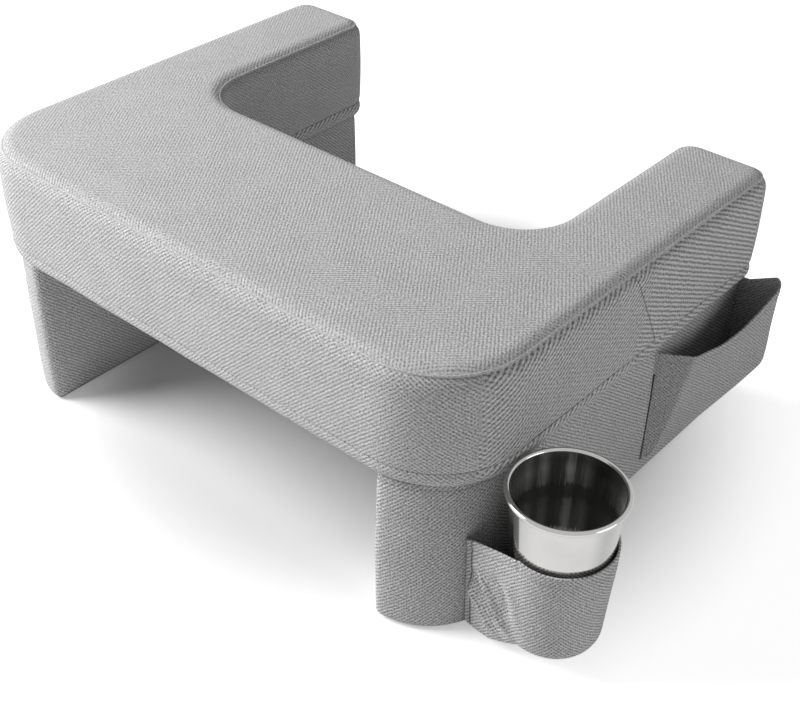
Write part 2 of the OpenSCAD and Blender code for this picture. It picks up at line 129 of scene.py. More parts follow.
bookPocket = {
    "foldOut": 0.036,         # where the crease's top stands off the leg
    "foldIn": 0.021,          # and back from the front seam
    "foldFoot": 0.25,         # how much of that is left at the bottom
    "foldRadius": 0.009,
    "cornerRadius": 0.012,
    "foot": (                 # the lower edge: places back from the front seam, and heights there
        (0.0, 0.026), (0.010, 0.035), (0.022, 0.0395), (0.048, 0.0445), (0.074, 0.053), (0.130, 0.0755), (0.172, 0.094),
    ),
    "mouth": ((0.0, 0.175), (0.022, 0.176), (0.070, 0.169), (0.100, 0.173), (0.130, 0.184), (0.172, 0.206)),
    "hemHeight": 0.010,
    "gapShadowTop": 0.150,          # below this a painted shadow line runs down the front seam, as of a small gap there
    "rows": 44,
}

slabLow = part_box("outer_side_band")[0]
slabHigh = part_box("outer_side_band")[1]
middleX = (slabLow.x + slabHigh.x) / 2
halfWide = (slabHigh.x - slabLow.x) / 2
frontY = slabLow.y
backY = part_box("right_arm_end_panel")[1].y
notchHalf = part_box("right_arm_end_panel")[0].x - middleX
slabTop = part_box("top_panel")[1].z
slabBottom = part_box("underside_panel")[0].z
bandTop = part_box("lower_edge_band")[1].z


def deselectAll():
    if bpy.context.object and bpy.context.object.mode != "OBJECT":
        bpy.ops.object.mode_set(mode="OBJECT")
    bpy.ops.object.select_all(action="DESELECT")


def makeActive(piece):
    deselectAll()
    piece.select_set(True)
    bpy.context.view_layer.objects.active = piece


def applyModifier(piece, kind, **settings):
    makeActive(piece)
    modifier = piece.modifiers.new(kind.lower(), kind)
    for name, value in settings.items():
        setattr(modifier, name, value)
    bpy.ops.object.modifier_apply(modifier=modifier.name)


def editMesh(piece, *steps):
    makeActive(piece)
    bpy.ops.object.mode_set(mode="EDIT")
    bpy.ops.mesh.select_all(action="SELECT")
    for step in steps:
        step()
    bpy.ops.object.mode_set(mode="OBJECT")


def mergeDoubles():
    bpy.ops.mesh.remove_doubles(threshold=0.00002)


def pointOutwards():
    bpy.ops.mesh.normals_make_consistent(inside=False)


def smoothShade(piece, degrees=40):
    makeActive(piece)
    bpy.ops.object.shade_smooth_by_angle(angle=math.radians(degrees))


# A line round the plan: each leg is a length to go straight, or a radius and the degrees to turn left
def walkPlan(x, y, degrees, planLegs, step):
    heading = math.radians(degrees)
    run = 0.0
    rows = [(x, y, heading, run)]
    for leg in planLegs:
        if isinstance(leg, tuple):
            radius, turn = leg
            side = 1 if turn > 0 else -1
            sweep = math.radians(turn)
            count = max(4, math.ceil(abs(sweep) * radius / step))
            centreX = x - side * radius * math.sin(heading)
            centreY = y + side * radius * math.cos(heading)
            for k in range(1, count + 1):
                now = heading + sweep * k / count
                x = centreX + side * radius * math.sin(now)
                y = centreY - side * radius * math.cos(now)
                rows.append((x, y, now, run + abs(sweep) * radius * k / count))
            heading += sweep
            run += abs(sweep) * radius
        else:
            count = max(1, math.ceil(leg / step))
            for k in range(1, count + 1):
                share = leg * k / count
                rows.append((
                    x + share * math.cos(heading), y + share * math.sin(heading), heading, run + share,
                ))
            x += leg * math.cos(heading)
            y += leg * math.sin(heading)
            run += leg
    return np.array(rows)


# Part of a circle in the plane of a section, from one angle to another, as (outwards, height) points
def arcPoints(out, height, radius, first, last, count):
    angles = np.radians(np.linspace(first, last, count + 1))
    return [(out + radius * math.cos(a), height + radius * math.sin(a)) for a in angles]


def straightPoints(start, end, step):
    count = max(1, math.ceil(math.dist(start, end) / step))
    return [
        (start[0] + (end[0] - start[0]) * k / count, start[1] + (end[1] - start[1]) * k / count)
        for k in range(1, count + 1)
    ]


# Lays a section along a plan line: gives the cloth's points and its flat pattern
def sweepCloth(plan, section):
    section = np.array(section)
    lengths = np.r_[0, np.cumsum(np.hypot(*np.diff(section, axis=0).T))]
    outX = np.sin(plan[:, 2])
    outY = -np.cos(plan[:, 2])
    points = np.empty((len(plan), len(section), 3))
    points[:, :, 0] = plan[:, 0, None] + outX[:, None] * section[None, :, 0]
    points[:, :, 1] = plan[:, 1, None] + outY[:, None] * section[None, :, 0]
    points[:, :, 2] = section[None, :, 1]
    flat = np.empty((len(plan), len(section), 2))
    flat[:, :, 0] = plan[:, 3, None]
    flat[:, :, 1] = lengths[None, :]
    return points, flat


def gridNormals(points, closed):
    if closed:
        ring = np.concatenate([points[-2:-1], points, points[1:2]])
        along = (ring[2:] - ring[:-2]) / 2
    else:
        along = np.gradient(points, axis=0)
    across = np.gradient(points, axis=1)
    normals = np.cross(along, across)
    return normals / np.maximum(np.linalg.norm(normals, axis=2, keepdims=True), 1e-12)


def raiseCloth(points, amount, closed):
    return points + gridNormals(points, closed) * amount[:, :, None]


# Smooth random rise and fall over a piece, the same on every run
def ripple(points, size, seed):
    flatPoints = points.reshape(-1, 3) / size + seed
    values = [noise.noise(Vector(p)) for p in flatPoints]
    return np.array(values).reshape(points.shape[:-1])


def gauss(distance, width):
    return np.exp(-(distance / width) ** 2)


# A flat grid of cloth is cut, then laid on its points; the pattern goes into its UV map in metres
def layCloth(name, points, flat, closed=False, seamAway=None):
    along = points.shape[0] - 1
    across = points.shape[1] - 1
    deselectAll()
    bpy.ops.mesh.primitive_grid_add(x_subdivisions=along, y_subdivisions=across, size=2)
    piece = bpy.context.object
    piece.name = name
    mesh = piece.data
    mesh.name = name
    coords = np.empty(len(mesh.vertices) * 3)
    mesh.vertices.foreach_get("co", coords)
    coords = coords.reshape(-1, 3)
    i = np.rint((coords[:, 0] + 1) / 2 * along).astype(int)
    j = np.rint((coords[:, 1] + 1) / 2 * across).astype(int)
    placed = points[i, j].copy()
    placed[:, 0] += middleX
    mesh.vertices.foreach_set("co", placed.ravel())
    corners = np.empty(len(mesh.loops), dtype=np.int64)
    mesh.loops.foreach_get("vertex_index", corners)
    layer = mesh.uv_layers[0]
    layer.data.foreach_set("uv", flat[i, j][corners].astype(np.float32).ravel())
    if seamAway is None:
        seamAway = np.ones(points.shape[:2])
    seam = mesh.attributes.new("seamAway", "FLOAT", "POINT")
    seam.data.foreach_set("value", seamAway[i, j].astype(np.float32))
    mesh.update()
    if closed:
        editMesh(piece, mergeDoubles)
    return piece


# The cloth's own area is kept before it gets its thickness
def thicken(piece, thickness):
    applyModifier(piece, "SOLIDIFY", thickness=thickness, offset=-1)
    smoothShade(piece)


def finishPiece(piece, body, slotName, material, *nodes):
    piece.data.materials.clear()
    piece.data.materials.append(material)
    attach(piece, body)
    if nodes:
        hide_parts(*nodes)
    return piece


# The mirror image of a right-hand piece, on the left
def mirroredCopy(piece, name):
    other = piece.copy()
    other.data = piece.data.copy()
    other.name = name
    bpy.context.scene.collection.objects.link(other)
    coords = np.empty(len(other.data.vertices) * 3)
    other.data.vertices.foreach_get("co", coords)
    coords = coords.reshape(-1, 3)
    coords[:, 0] = 2 * middleX - coords[:, 0]
    other.data.vertices.foreach_set("co", coords.ravel())
    editMesh(other, bpy.ops.mesh.flip_normals)
    return other


def newMaterial(name):
    material = bpy.data.materials.new(name)
    material.use_nodes = True
    tree = material.node_tree
    tree.nodes.clear()
    output = tree.nodes.new("ShaderNodeOutputMaterial")
    shader = tree.nodes.new("ShaderNodeBsdfPrincipled")
    tree.links.new(shader.outputs["BSDF"], output.inputs["Surface"])
    return material, tree, shader


def reckon(tree, operation, *values):
    node = tree.nodes.new("ShaderNodeMath")
    node.operation = operation
    for socket, value in zip(node.inputs, values):
        if isinstance(value, (int, float)):
            socket.default_value = value
        else:
            tree.links.new(value, socket)
    return node.outputs[0]


def speckle(tree, coordinates, scale, detail=2.0):
    node = tree.nodes.new("ShaderNodeTexNoise")
    node.inputs["Scale"].default_value = scale
    node.inputs["Detail"].default_value = detail
    tree.links.new(coordinates, node.inputs["Vector"])
    return node.outputs["Fac"]


def blendColours(tree, share, first, second):
    node = tree.nodes.new("ShaderNodeMix")
    node.data_type = "RGBA"
    tree.links.new(share, node.inputs["Factor"])
    for socket, value in ((node.inputs["A"], first), (node.inputs["B"], second)):
        if isinstance(value, tuple):
            socket.default_value = value
        else:
            tree.links.new(value, socket)
    return node.outputs["Result"]


def addBump(tree, shader, height, strength, distance):
    node = tree.nodes.new("ShaderNodeBump")
    node.inputs["Strength"].default_value = strength
    node.inputs["Distance"].default_value = distance
    tree.links.new(height, node.inputs["Height"])
    tree.links.new(node.outputs["Normal"], shader.inputs["Normal"])


# One set of ribs: a wave across lines that rise or fall at an angle
def ribWave(tree, along, up, drift, turns, degrees):
    lean = math.radians(degrees)
    phase = reckon(tree, "MULTIPLY_ADD", up, turns * math.cos(lean), drift)
    return reckon(tree, "SINE", reckon(tree, "MULTIPLY_ADD", along, turns * math.sin(lean), phase))


# Where the rising ribs are the stronger set: in patches, or all along but for the given stretches
def turnShare(tree, place, along, look):
    patch = speckle(tree, place, look["turnScale"], 1.0)
    if "turnedStretches" not in look:
        start = 0.5 - 0.5 * look["turnSharpness"] + look["turnBias"]
        turn = reckon(tree, "MULTIPLY_ADD", patch, look["turnSharpness"], start)
        turn.node.use_clamp = True
        return turn
    wander = reckon(tree, "MULTIPLY_ADD", reckon(tree, "SUBTRACT", patch, 0.5), 0.05, along)
    turn = None
    for first, last in look["turnedStretches"]:
        entered = rampAcross(tree, wander, first - 0.012, first + 0.012)
        inside = reckon(tree, "MULTIPLY", entered, rampAcross(tree, wander, last + 0.012, last - 0.012))
        outside = reckon(tree, "MULTIPLY_ADD", inside, -1.0, 1.0)
        turn = outside if turn is None else reckon(tree, "MULTIPLY", turn, outside)
    return reckon(tree, "MULTIPLY_ADD", turn, 0.84, 0.08)


# Goes from 0 to 1 between two values; the second may be the lower one
def rampAcross(tree, value, start, end):
    ramp = tree.nodes.new("ShaderNodeMapRange")
    ramp.interpolation_type = "SMOOTHSTEP"
    tree.links.new(value, ramp.inputs["Value"])
    ramp.inputs["From Min"].default_value = min(start, end)
    ramp.inputs["From Max"].default_value = max(start, end)
    ramp.inputs["To Min"].default_value = 0.0 if end > start else 1.0
    ramp.inputs["To Max"].default_value = 1.0 if end > start else 0.0
    return ramp.outputs["Result"]


# A woven cloth: two crossed sets of ribs with a dark gap where both dip, each stronger in turn
def clothMaterial(name, look):
    material, tree, shader = newMaterial(name)
    source = tree.nodes.new("ShaderNodeUVMap")
    source.uv_map = "UVMap"
    place = source.outputs["UV"]
    parts = tree.nodes.new("ShaderNodeSeparateXYZ")
    tree.links.new(place, parts.inputs[0])
    turns = 2 * math.pi / look["ribPitch"]
    drift = reckon(tree, "MULTIPLY", speckle(tree, place, look["driftScale"]), look["drift"])
    drift = reckon(tree, "MULTIPLY_ADD", speckle(tree, place, look["jitterScale"], 1.0), look["jitter"], drift)
    along = parts.outputs[0]
    up = parts.outputs[1]
    if "coarseFrom" in look:
        past = rampAcross(tree, along, look["coarseFrom"] - 0.0005, look["coarseFrom"] + 0.0005)
        along = reckon(tree, "MULTIPLY", along, reckon(tree, "MULTIPLY_ADD", past, look["coarseAlong"] - 1, 1.0))
        up = reckon(tree, "MULTIPLY", up, reckon(tree, "MULTIPLY_ADD", past, look["coarseUp"] - 1, 1.0))
    ribs, crossed = (
        ribWave(tree, along, up, drift, turns, side * look[angle])
        for side, angle in ((-1, "ribAngle"), (1, "crossAngle"))
    )
    turn = turnShare(tree, place, parts.outputs[0], look)
    mixed = reckon(tree, "MULTIPLY_ADD", reckon(tree, "SUBTRACT", ribs, crossed), turn, crossed)
    share = look["ribShare"]
    if "coarseFrom" in look:
        share = reckon(tree, "MULTIPLY_ADD", past, look["coarseGain"] * share, share)
    woven = reckon(tree, "MULTIPLY_ADD", mixed, share, 0.5)
    dip = reckon(tree, "MULTIPLY", reckon(tree, "MINIMUM", ribs, 0.0), reckon(tree, "MINIMUM", crossed, 0.0))
    woven = reckon(tree, "MULTIPLY_ADD", dip, -look["gapShare"], woven)
    fuzz = reckon(tree, "SUBTRACT", speckle(tree, place, look["fuzzScale"]), 0.5)
    woven = reckon(tree, "MULTIPLY_ADD", fuzz, look["fuzz"], woven)
    mottle = reckon(tree, "SUBTRACT", speckle(tree, place, look["mottleScale"]), 0.5)
    tone = reckon(tree, "MULTIPLY_ADD", mottle, look["mottle"], woven)
    tone.node.use_clamp = True
    colour = blendColours(tree, tone, look["gap"], look["thread"])
    # A painted shadow line: near where seamAway is zero the colour darkens to the painted seam shadow colour, along a
    # seam groove, the dart or a gap
    if "seamLine" in look:
        seam = tree.nodes.new("ShaderNodeAttribute")
        seam.attribute_name = "seamAway"
        away = reckon(tree, "ABSOLUTE", seam.outputs["Fac"])
        clearOfSeamShadow = rampAcross(tree, away, look["seamLine"] * 0.4, look["seamLine"])
        clearOfSeamShadow = reckon(tree, "MULTIPLY_ADD", clearOfSeamShadow, look["seamDepth"], 1 - look["seamDepth"])
        colour = blendColours(tree, clearOfSeamShadow, look["seamPaintedShadow"], colour)
    tree.links.new(colour, shader.inputs["Base Color"])
    shader.inputs["Roughness"].default_value = look["roughness"]
    shader.inputs["Sheen Weight"].default_value = look["sheen"]
    shader.inputs["Sheen Roughness"].default_value = 0.5
    shader.inputs["Specular IOR Level"].default_value = 0.2
    addBump(tree, shader, woven, look["bump"], look["bumpDepth"])
    return material


coverLook = {
    "thread": (0.87, 0.865, 0.87, 1),
    "gap": (0.20, 0.198, 0.20, 1),
    "ribAngle": 43,           # of the rising ribs, against the cloth's length
    "crossAngle": 38,         # of the falling ribs
    "ribPitch": 0.0034,
    "drift": 3.5,             # how far the ribs wander
    "driftScale": 100,
    "jitter": 2.2,            # and how uneven each rib is
    "jitterScale": 420,
    "turnScale": 13,          # how often the stronger set of ribs changes
    "turnSharpness": 5.0,
    "turnBias": 0.1,
    "ribShare": 0.15,
    "gapShare": 0.48,
    "fuzz": 1.6,
    "fuzzScale": 460,
    "mottle": 0.14,
    "mottleScale": 28,
    "roughness": 0.9,
    "sheen": 0.10,
    "bump": 0.6,
    "bumpDepth": 0.0006,
}
# The cup pocket's look carries a painted shadow line along its seam
pocketLook = dict(
    coverLook, ribAngle=48, crossAngle=43, ribPitch=0.0032, ribShare=0.20, gapShare=0.85, fuzz=1.5, drift=4.0,
    turnedStretches=((0.041, 0.6),), seamLine=0.0011, seamDepth=0.7, seamPaintedShadow=(0.09, 0.09, 0.09, 1),
)
# The top's thread and gap are a little lighter than the cover's, as painted light on the top face
topLook = dict(
    coverLook, thread=(0.90, 0.895, 0.90, 1), gap=(0.22, 0.218, 0.22, 1),
    crossAngle=55, turnBias=-0.45, ribShare=0.13, gapShare=0.38, fuzz=1.4,
)
legLook = dict(coverLook, ribShare=0.18, gapShare=0.7, fuzz=1.8, turnedStretches=((-0.1, 0.44),))
# The book pocket's look carries a dark painted shadow line along its front seam
bookLook = dict(
    coverLook, crossAngle=38, ribPitch=0.0031, turnedStretches=((-1.0, 1.0),),
    seamLine=0.0016, seamDepth=0.95, seamPaintedShadow=(0.03, 0.03, 0.03, 1),
)
polishedLook = {
    "colour": (0.41, 0.407, 0.395, 1),
    "smudge": (0.50, 0.496, 0.485, 1),
    "roughness": 0.10,
    "brushScale": 60.0,
    "brushDepth": 0.00004,
}
# Painted reflections and painted shade inside the cup: the bright and dull tones they blend between
cupInsidePaintedLight = {
    "bright": (0.98, 0.975, 0.96, 1),
    "dull": (0.07, 0.07, 0.068, 1),
    "farSide": 130.3,         # the way round to the side next to the leg, in degrees
    "grain": 30.0,            # how fine the lines between the streaks are
    "metallic": 0.50,
    "roughness": 0.17,
    # painted shade and painted reflection by share of the cup's height: a dark band, a bright band over it, dark under
    # the rim
    "heights": (
        (0.0, 0.60), (0.60, 0.60), (0.675, 0.50), (0.71, 0.15), (0.765, 0.20),
        (0.80, 0.80), (0.88, 1.0), (0.95, 0.6), (1.0, 0.3),
    ),
    "paintedStreaks": (              # painted reflection streaks: degrees clockwise from the side of the leg's front corner, and how bright
        (-50, 0.35), (-38, 0.6), (-28, 0.22), (-19, 0.65), (-8, 0.10), (3, 0.25), (8, 1.0), (12, 0.9), (17, 0.25),
        (27, 0.5), (40, 0.10), (70, 0.3), (100, 0.9), (180, 1.0), (260, 0.9), (290, 0.3), (310, 0.35),
    ),
    "brightBelow": 0.45,      # the deep part only passes light on, so it stays bright
}


def steelMaterial(name, look):
    material, tree, shader = newMaterial(name)
    shader.inputs["Metallic"].default_value = 1.0
    source = tree.nodes.new("ShaderNodeTexCoord")
    stretch = tree.nodes.new("ShaderNodeMapping")
    stretch.inputs["Scale"].default_value = (2.0, 2.0, 0.3)
    tree.links.new(source.outputs["Object"], stretch.inputs["Vector"])
    lines = speckle(tree, stretch.outputs["Vector"], look["brushScale"], 3.0)
    smudge = speckle(tree, source.outputs["Object"], 30.0, 3.0)
    colour = blendColours(tree, smudge, look["colour"], look["smudge"])
    tree.links.new(colour, shader.inputs["Base Color"])
    rough = reckon(tree, "MULTIPLY_ADD", smudge, 0.06, look["roughness"] - 0.03)
    tree.links.new(rough, shader.inputs["Roughness"])
    addBump(tree, shader, lines, 0.12, look["brushDepth"])
    return material


# Tones at places from 0 to 1, blended between them
def toneRamp(tree, value, stops):
    node = tree.nodes.new("ShaderNodeValToRGB")
    node.color_ramp.interpolation = "EASE"
    tree.links.new(value, node.inputs[0])
    for k, (place, tone) in enumerate(stops):
        stop = node.color_ramp.elements[k] if k < 2 else node.color_ramp.elements.new(place)
        stop.position = place
        stop.color = (tone, tone, tone, 1)
    return node.outputs["Color"]


# Inside the cup, reflections and shade are painted into the steel's colour: broad upright bright streaks round the
# wall, a dark band a little above mid-height, a bright band over it and dark just under the rim; the deep part is kept
# bright
def paintedReflectionSteelMaterial(look):
    material, tree, shader = newMaterial("drawn steel inside, painted reflections and shade")
    shader.inputs["Metallic"].default_value = look["metallic"]
    source = tree.nodes.new("ShaderNodeTexCoord")
    centred = tree.nodes.new("ShaderNodeMapping")
    centred.inputs["Location"].default_value = (-cupX - middleX, -cupY, -cupFoot)
    tree.links.new(source.outputs["Object"], centred.inputs["Vector"])
    parts = tree.nodes.new("ShaderNodeSeparateXYZ")
    tree.links.new(centred.outputs["Vector"], parts.inputs[0])
    angle = reckon(tree, "ARCTAN2", parts.outputs[1], parts.outputs[0])
    round1 = tree.nodes.new("ShaderNodeCombineXYZ")
    tree.links.new(reckon(tree, "SINE", angle), round1.inputs[0])
    tree.links.new(reckon(tree, "COSINE", angle), round1.inputs[1])
    tree.links.new(reckon(tree, "MULTIPLY", parts.outputs[2], 1.5), round1.inputs[2])
    fine = speckle(tree, round1.outputs[0], look["grain"], 2.0)
    turned = reckon(tree, "MULTIPLY_ADD", angle, -1 / (2 * math.pi), (look["farSide"] + 50) / 360)
    turned = reckon(tree, "ADD", turned, reckon(tree, "LESS_THAN", turned, 0.0))
    turned = reckon(tree, "MULTIPLY_ADD", reckon(tree, "SUBTRACT", fine, 0.5), 0.02, turned)
    # painted reflection streaks by the way round the cup
    paintedStreakRamp = toneRamp(tree, turned, [((degrees + 50) / 360, tone) for degrees, tone in look["paintedStreaks"]])
    paintedStreak = reckon(tree, "MULTIPLY_ADD", reckon(tree, "SUBTRACT", fine, 0.5), 0.35, paintedStreakRamp)
    height = reckon(tree, "DIVIDE", parts.outputs[2], cupTop - cupFoot)
    height = reckon(tree, "MULTIPLY_ADD", reckon(tree, "SUBTRACT", fine, 0.5), 0.10, height)
    heights = toneRamp(tree, height, look["heights"])
    tone = reckon(tree, "MULTIPLY", paintedStreak, heights)
    tone.node.use_clamp = True
    tone = reckon(tree, "POWER", tone, 1.4)
    deep = rampAcross(tree, height, look["brightBelow"] + 0.05, look["brightBelow"])
    tone = reckon(tree, "MAXIMUM", tone, deep)
    tree.links.new(blendColours(tree, tone, look["dull"], look["bright"]), shader.inputs["Base Color"])
    tree.links.new(reckon(tree, "MULTIPLY_ADD", fine, 0.10, look["roughness"]), shader.inputs["Roughness"])
    addBump(tree, shader, fine, 0.15, 0.0002)
    return material


def objectClothMaterial(name, thread, gap, pitch, roughness=0.85):
    material, tree, shader = newMaterial(name)
    source = tree.nodes.new("ShaderNodeTexCoord")
    parts = tree.nodes.new("ShaderNodeSeparateXYZ")
    tree.links.new(source.outputs["Object"], parts.inputs[0])
    first = reckon(tree, "ADD", parts.outputs[0], parts.outputs[1])
    second = reckon(tree, "SUBTRACT", reckon(tree, "ADD", parts.outputs[2], parts.outputs[1]), parts.outputs[0])
    waveA = reckon(tree, "SINE", reckon(tree, "MULTIPLY", first, 2 * math.pi / pitch))
    waveB = reckon(tree, "SINE", reckon(tree, "MULTIPLY", second, 2 * math.pi / pitch))
    woven = reckon(tree, "MULTIPLY_ADD", reckon(tree, "MULTIPLY", waveA, waveB), 0.35, 0.5)
    fuzz = speckle(tree, source.outputs["Object"], 600.0)
    tone = reckon(tree, "ADD", woven, reckon(tree, "MULTIPLY", reckon(tree, "SUBTRACT", fuzz, 0.5), 0.5))
    tone.node.use_clamp = True
    tree.links.new(blendColours(tree, tone, gap, thread), shader.inputs["Base Color"])
    shader.inputs["Roughness"].default_value = roughness
    addBump(tree, shader, woven, 0.4, 0.0003)
    return material


def foamMaterial():
    material, tree, shader = newMaterial("open cell foam")
    source = tree.nodes.new("ShaderNodeTexCoord")
    cells = tree.nodes.new("ShaderNodeTexVoronoi")
    cells.inputs["Scale"].default_value = 700.0
    tree.links.new(source.outputs["Object"], cells.inputs["Vector"])
    tone = reckon(tree, "MULTIPLY", cells.outputs["Distance"], 1.4)
    tone.node.use_clamp = True
    colour = blendColours(tree, tone, (0.62, 0.56, 0.38, 1), (0.84, 0.78, 0.58, 1))
    tree.links.new(colour, shader.inputs["Base Color"])
    shader.inputs["Roughness"].default_value = 0.95
    addBump(tree, shader, tone, 0.6, 0.0006)
    return material


def metalMaterial(name, colour, roughness):
    material, tree, shader = newMaterial(name)
    source = tree.nodes.new("ShaderNodeTexCoord")
    wear = speckle(tree, source.outputs["Object"], 420.0, 4.0)
    dark = tuple(0.75 * c for c in colour[:3]) + (1,)
    tree.links.new(blendColours(tree, wear, dark, colour), shader.inputs["Base Color"])
    shader.inputs["Metallic"].default_value = 1.0
    tree.links.new(reckon(tree, "MULTIPLY_ADD", wear, 0.25, roughness), shader.inputs["Roughness"])
    addBump(tree, shader, wear, 0.1, 0.0001)
    return material


coverCloth = clothMaterial("cover twill", coverLook)
pocketCloth = clothMaterial("cup pocket twill", pocketLook)
topCloth = clothMaterial("top twill", topLook)
legCloth = clothMaterial("leg twill", legLook)
bookCloth = clothMaterial("book pocket twill", bookLook)
weltCloth = clothMaterial("welt cloth", dict(coverLook, thread=(0.80, 0.795, 0.80, 1), gap=(0.40, 0.40, 0.40, 1)))
threadCloth = objectClothMaterial("sewing thread", (0.50, 0.50, 0.50, 1), (0.22, 0.22, 0.22, 1), 0.0009)
gripCloth = objectClothMaterial("grip base cloth", (0.34, 0.34, 0.345, 1), (0.16, 0.16, 0.16, 1), 0.0024)
tapeCloth = objectClothMaterial("zip tape", (0.26, 0.26, 0.27, 1), (0.13, 0.13, 0.13, 1), 0.0011)
coilPlastic = objectClothMaterial("zip coil", (0.30, 0.30, 0.31, 1), (0.20, 0.20, 0.20, 1), 0.0015, 0.35)
zipMetal = metalMaterial("zip metal", (0.55, 0.55, 0.56, 1), 0.25)
steelFinish = steelMaterial("polished steel", polishedLook)
foamFinish = foamMaterial()
print("materials made")


def slabPlan(inset, step):
    straight = backY - frontY - slab["cornerRadius"] - slab["armEndRadius"]
    armEnd = halfWide - notchHalf - 2 * slab["armEndRadius"]
    inner = backY - slab["notchFront"] - slab["notchRadius"] - slab["armEndRadius"]
    legsRound = [
        straight, (slab["cornerRadius"], 90), 2 * (halfWide - slab["cornerRadius"]),
        (slab["cornerRadius"], 90), straight,
        (slab["armEndRadius"], 90), armEnd, (slab["armEndRadius"], 90),
        inner, (slab["notchRadius"], -90), 2 * (notchHalf - slab["notchRadius"]),
        (slab["notchRadius"], -90), inner,
        (slab["armEndRadius"], 90), armEnd, (slab["armEndRadius"], 90),
    ]
    return walkPlan(-halfWide, backY - slab["armEndRadius"], 270, legsRound, step)


wholePlan = slabPlan(0, slab["step"])
print("outline", round(wholePlan[-1, 3], 3), "m round")


# The stretch of the outline between two of its run lengths
def planBetween(first, last):
    keep = (wholePlan[:, 3] > first - 1e-6) & (wholePlan[:, 3] < last + 1e-6)
    return wholePlan[keep]


straightRun = backY - frontY - slab["cornerRadius"] - slab["armEndRadius"]
cornerRun = slab["cornerRadius"] * math.pi / 2
outerRun = 2 * straightRun + 2 * cornerRun + 2 * (halfWide - slab["cornerRadius"])
endRun = math.pi * slab["armEndRadius"] + halfWide - notchHalf - 2 * slab["armEndRadius"]
innerRun = wholePlan[-1, 3] - outerRun - 2 * endRun

seamTurn = 45
weltTurn = 3.8
edgeOut = -slab["softEdge"]
edgeZ = slabTop - slab["softEdge"]
sideSection = (
    [(0, bandTop + 0.0004)]
    + straightPoints((0, bandTop + 0.0004), (0, edgeZ), slab["step"])
    + arcPoints(edgeOut, edgeZ, slab["softEdge"], 0, seamTurn - weltTurn, 4)[1:]
)
topSection = arcPoints(edgeOut, edgeZ, slab["softEdge"], seamTurn + weltTurn, 90, 5)
rollSection = (
    arcPoints(-slab["roll"], slabBottom + slab["roll"], slab["roll"], -90, 0, 6)
    + straightPoints((0, slabBottom + slab["roll"]), (0, bandTop - 0.0004), 0.0022)
)


# The seams are drawn in hardest past the right front corner, and soft at the front and left
def seamDepth(run):
    share = np.clip((run - rightCornerRun - 0.03) / 0.09, 0, 1)
    return slab["softSeam"] + (1 - slab["softSeam"]) * share * share * (3 - 2 * share)


# A dart down the right side, from the top seam back to the book pocket's front corner
def fromDart(points):
    (topY, topZ), (lowY, lowZ) = slab["dart"]
    leg = np.array([lowY - topY, lowZ - topZ])
    length = np.hypot(*leg)
    aside = ((points[:, :, 1] - topY) * leg[1] - (points[:, :, 2] - topZ) * leg[0]) / length
    share = ((points[:, :, 1] - topY) * leg[0] + (points[:, :, 2] - topZ) * leg[1]) / length ** 2
    onDart = (share > -0.05) & (share < 1.02) & (points[:, :, 0] > 0.1)
    return np.where(onDart, aside, 1.0)


# Cloth is drawn in at the seams, presses out between them and puckers beside the stitches
def seamRelief(points, flat, tuckLow, tuckHigh):
    t = flat[:, :, 1]
    whole = t.max()
    fromLow = t
    fromHigh = whole - t
    swell = slab["swell"] * np.clip(np.sin(np.pi * t / whole), 0, 1)
    drawn = slab["tuck"] * (tuckLow * gauss(fromLow, 0.003) + tuckHigh * gauss(fromHigh, 0.003))
    pucker = slab["pucker"] * ripple(points, 0.009, 3.1)
    pucker *= tuckLow * gauss(fromLow, 0.016) + tuckHigh * gauss(fromHigh, 0.016)
    return swell - drawn + pucker + 0.0007 * ripple(points, 0.075, 7.7)


# On the outer band the ribs lean the other way round the right front corner and behind the dart
rightCornerRun = straightRun + cornerRun + 2 * (halfWide - slab["cornerRadius"])
dartRun = rightCornerRun + cornerRun + 0.200
# The band also gets a painted shadow line down the dart's groove
bandLook = dict(
    coverLook, crossAngle=35, ribShare=0.16,
    coarseFrom=rightCornerRun + 0.103, coarseAlong=0.57, coarseUp=0.76, coarseGain=1.0,
    seamLine=0.0011, seamDepth=0.6, seamPaintedShadow=(0.09, 0.09, 0.09, 1),
    turnedStretches=(
        (-0.1, straightRun), (rightCornerRun + 0.042, rightCornerRun + 0.102), (dartRun, outerRun + 0.1),
    ),
)
bandCloth = clothMaterial("band twill", bandLook)


def sideBand(name, first, last, *nodes):
    points, flat = sweepCloth(planBetween(first, last), sideSection)
    depth = seamDepth(flat[:, :, 0])
    amount = seamRelief(points, flat, depth, depth)
    dart = fromDart(points)
    amount += 0.0008 * gauss(dart + 0.006, 0.006) - 0.0008 * gauss(dart, 0.004)
    points = raiseCloth(points, amount, False)
    # The distance from the dart goes into seamAway, for the painted shadow line down its groove
    piece = layCloth(name, points, flat, False, dart)
    thicken(piece, slab["clothThickness"])
    return finishPiece(piece, "tray", "cover_fabric", bandCloth if first == 0 else coverCloth, *nodes)


sideBand("outer_side_band_cloth", 0, outerRun, "outer_side_band")
sideBand("right_arm_end_cloth", outerRun, outerRun + endRun, "right_arm_end_panel")
sideBand("inner_side_band_cloth", outerRun + endRun, outerRun + endRun + innerRun, "inner_side_band")
sideBand("left_arm_end_cloth", outerRun + endRun + innerRun, wholePlan[-1, 3], "left_arm_end_panel")


def lowerBand():
    points, flat = sweepCloth(wholePlan, rollSection)
    fromSeam = flat[:, :, 1].max() - flat[:, :, 1]
    amount = -slab["tuck"] * seamDepth(flat[:, :, 0]) * gauss(fromSeam, 0.003) + 0.0005 * ripple(points, 0.05, 1.7)
    amount += slab["pucker"] * ripple(points, 0.010, 4.1) * gauss(fromSeam, 0.012)
    amount *= np.clip(flat[:, :, 1] / 0.012, 0, 1)
    points = raiseCloth(points, amount, True)
    piece = layCloth("lower_edge_band_cloth", points, flat, True)
    thicken(piece, slab["clothThickness"])
    return finishPiece(piece, "tray", "cover_fabric", bandCloth, "lower_edge_band")


lowerBand()


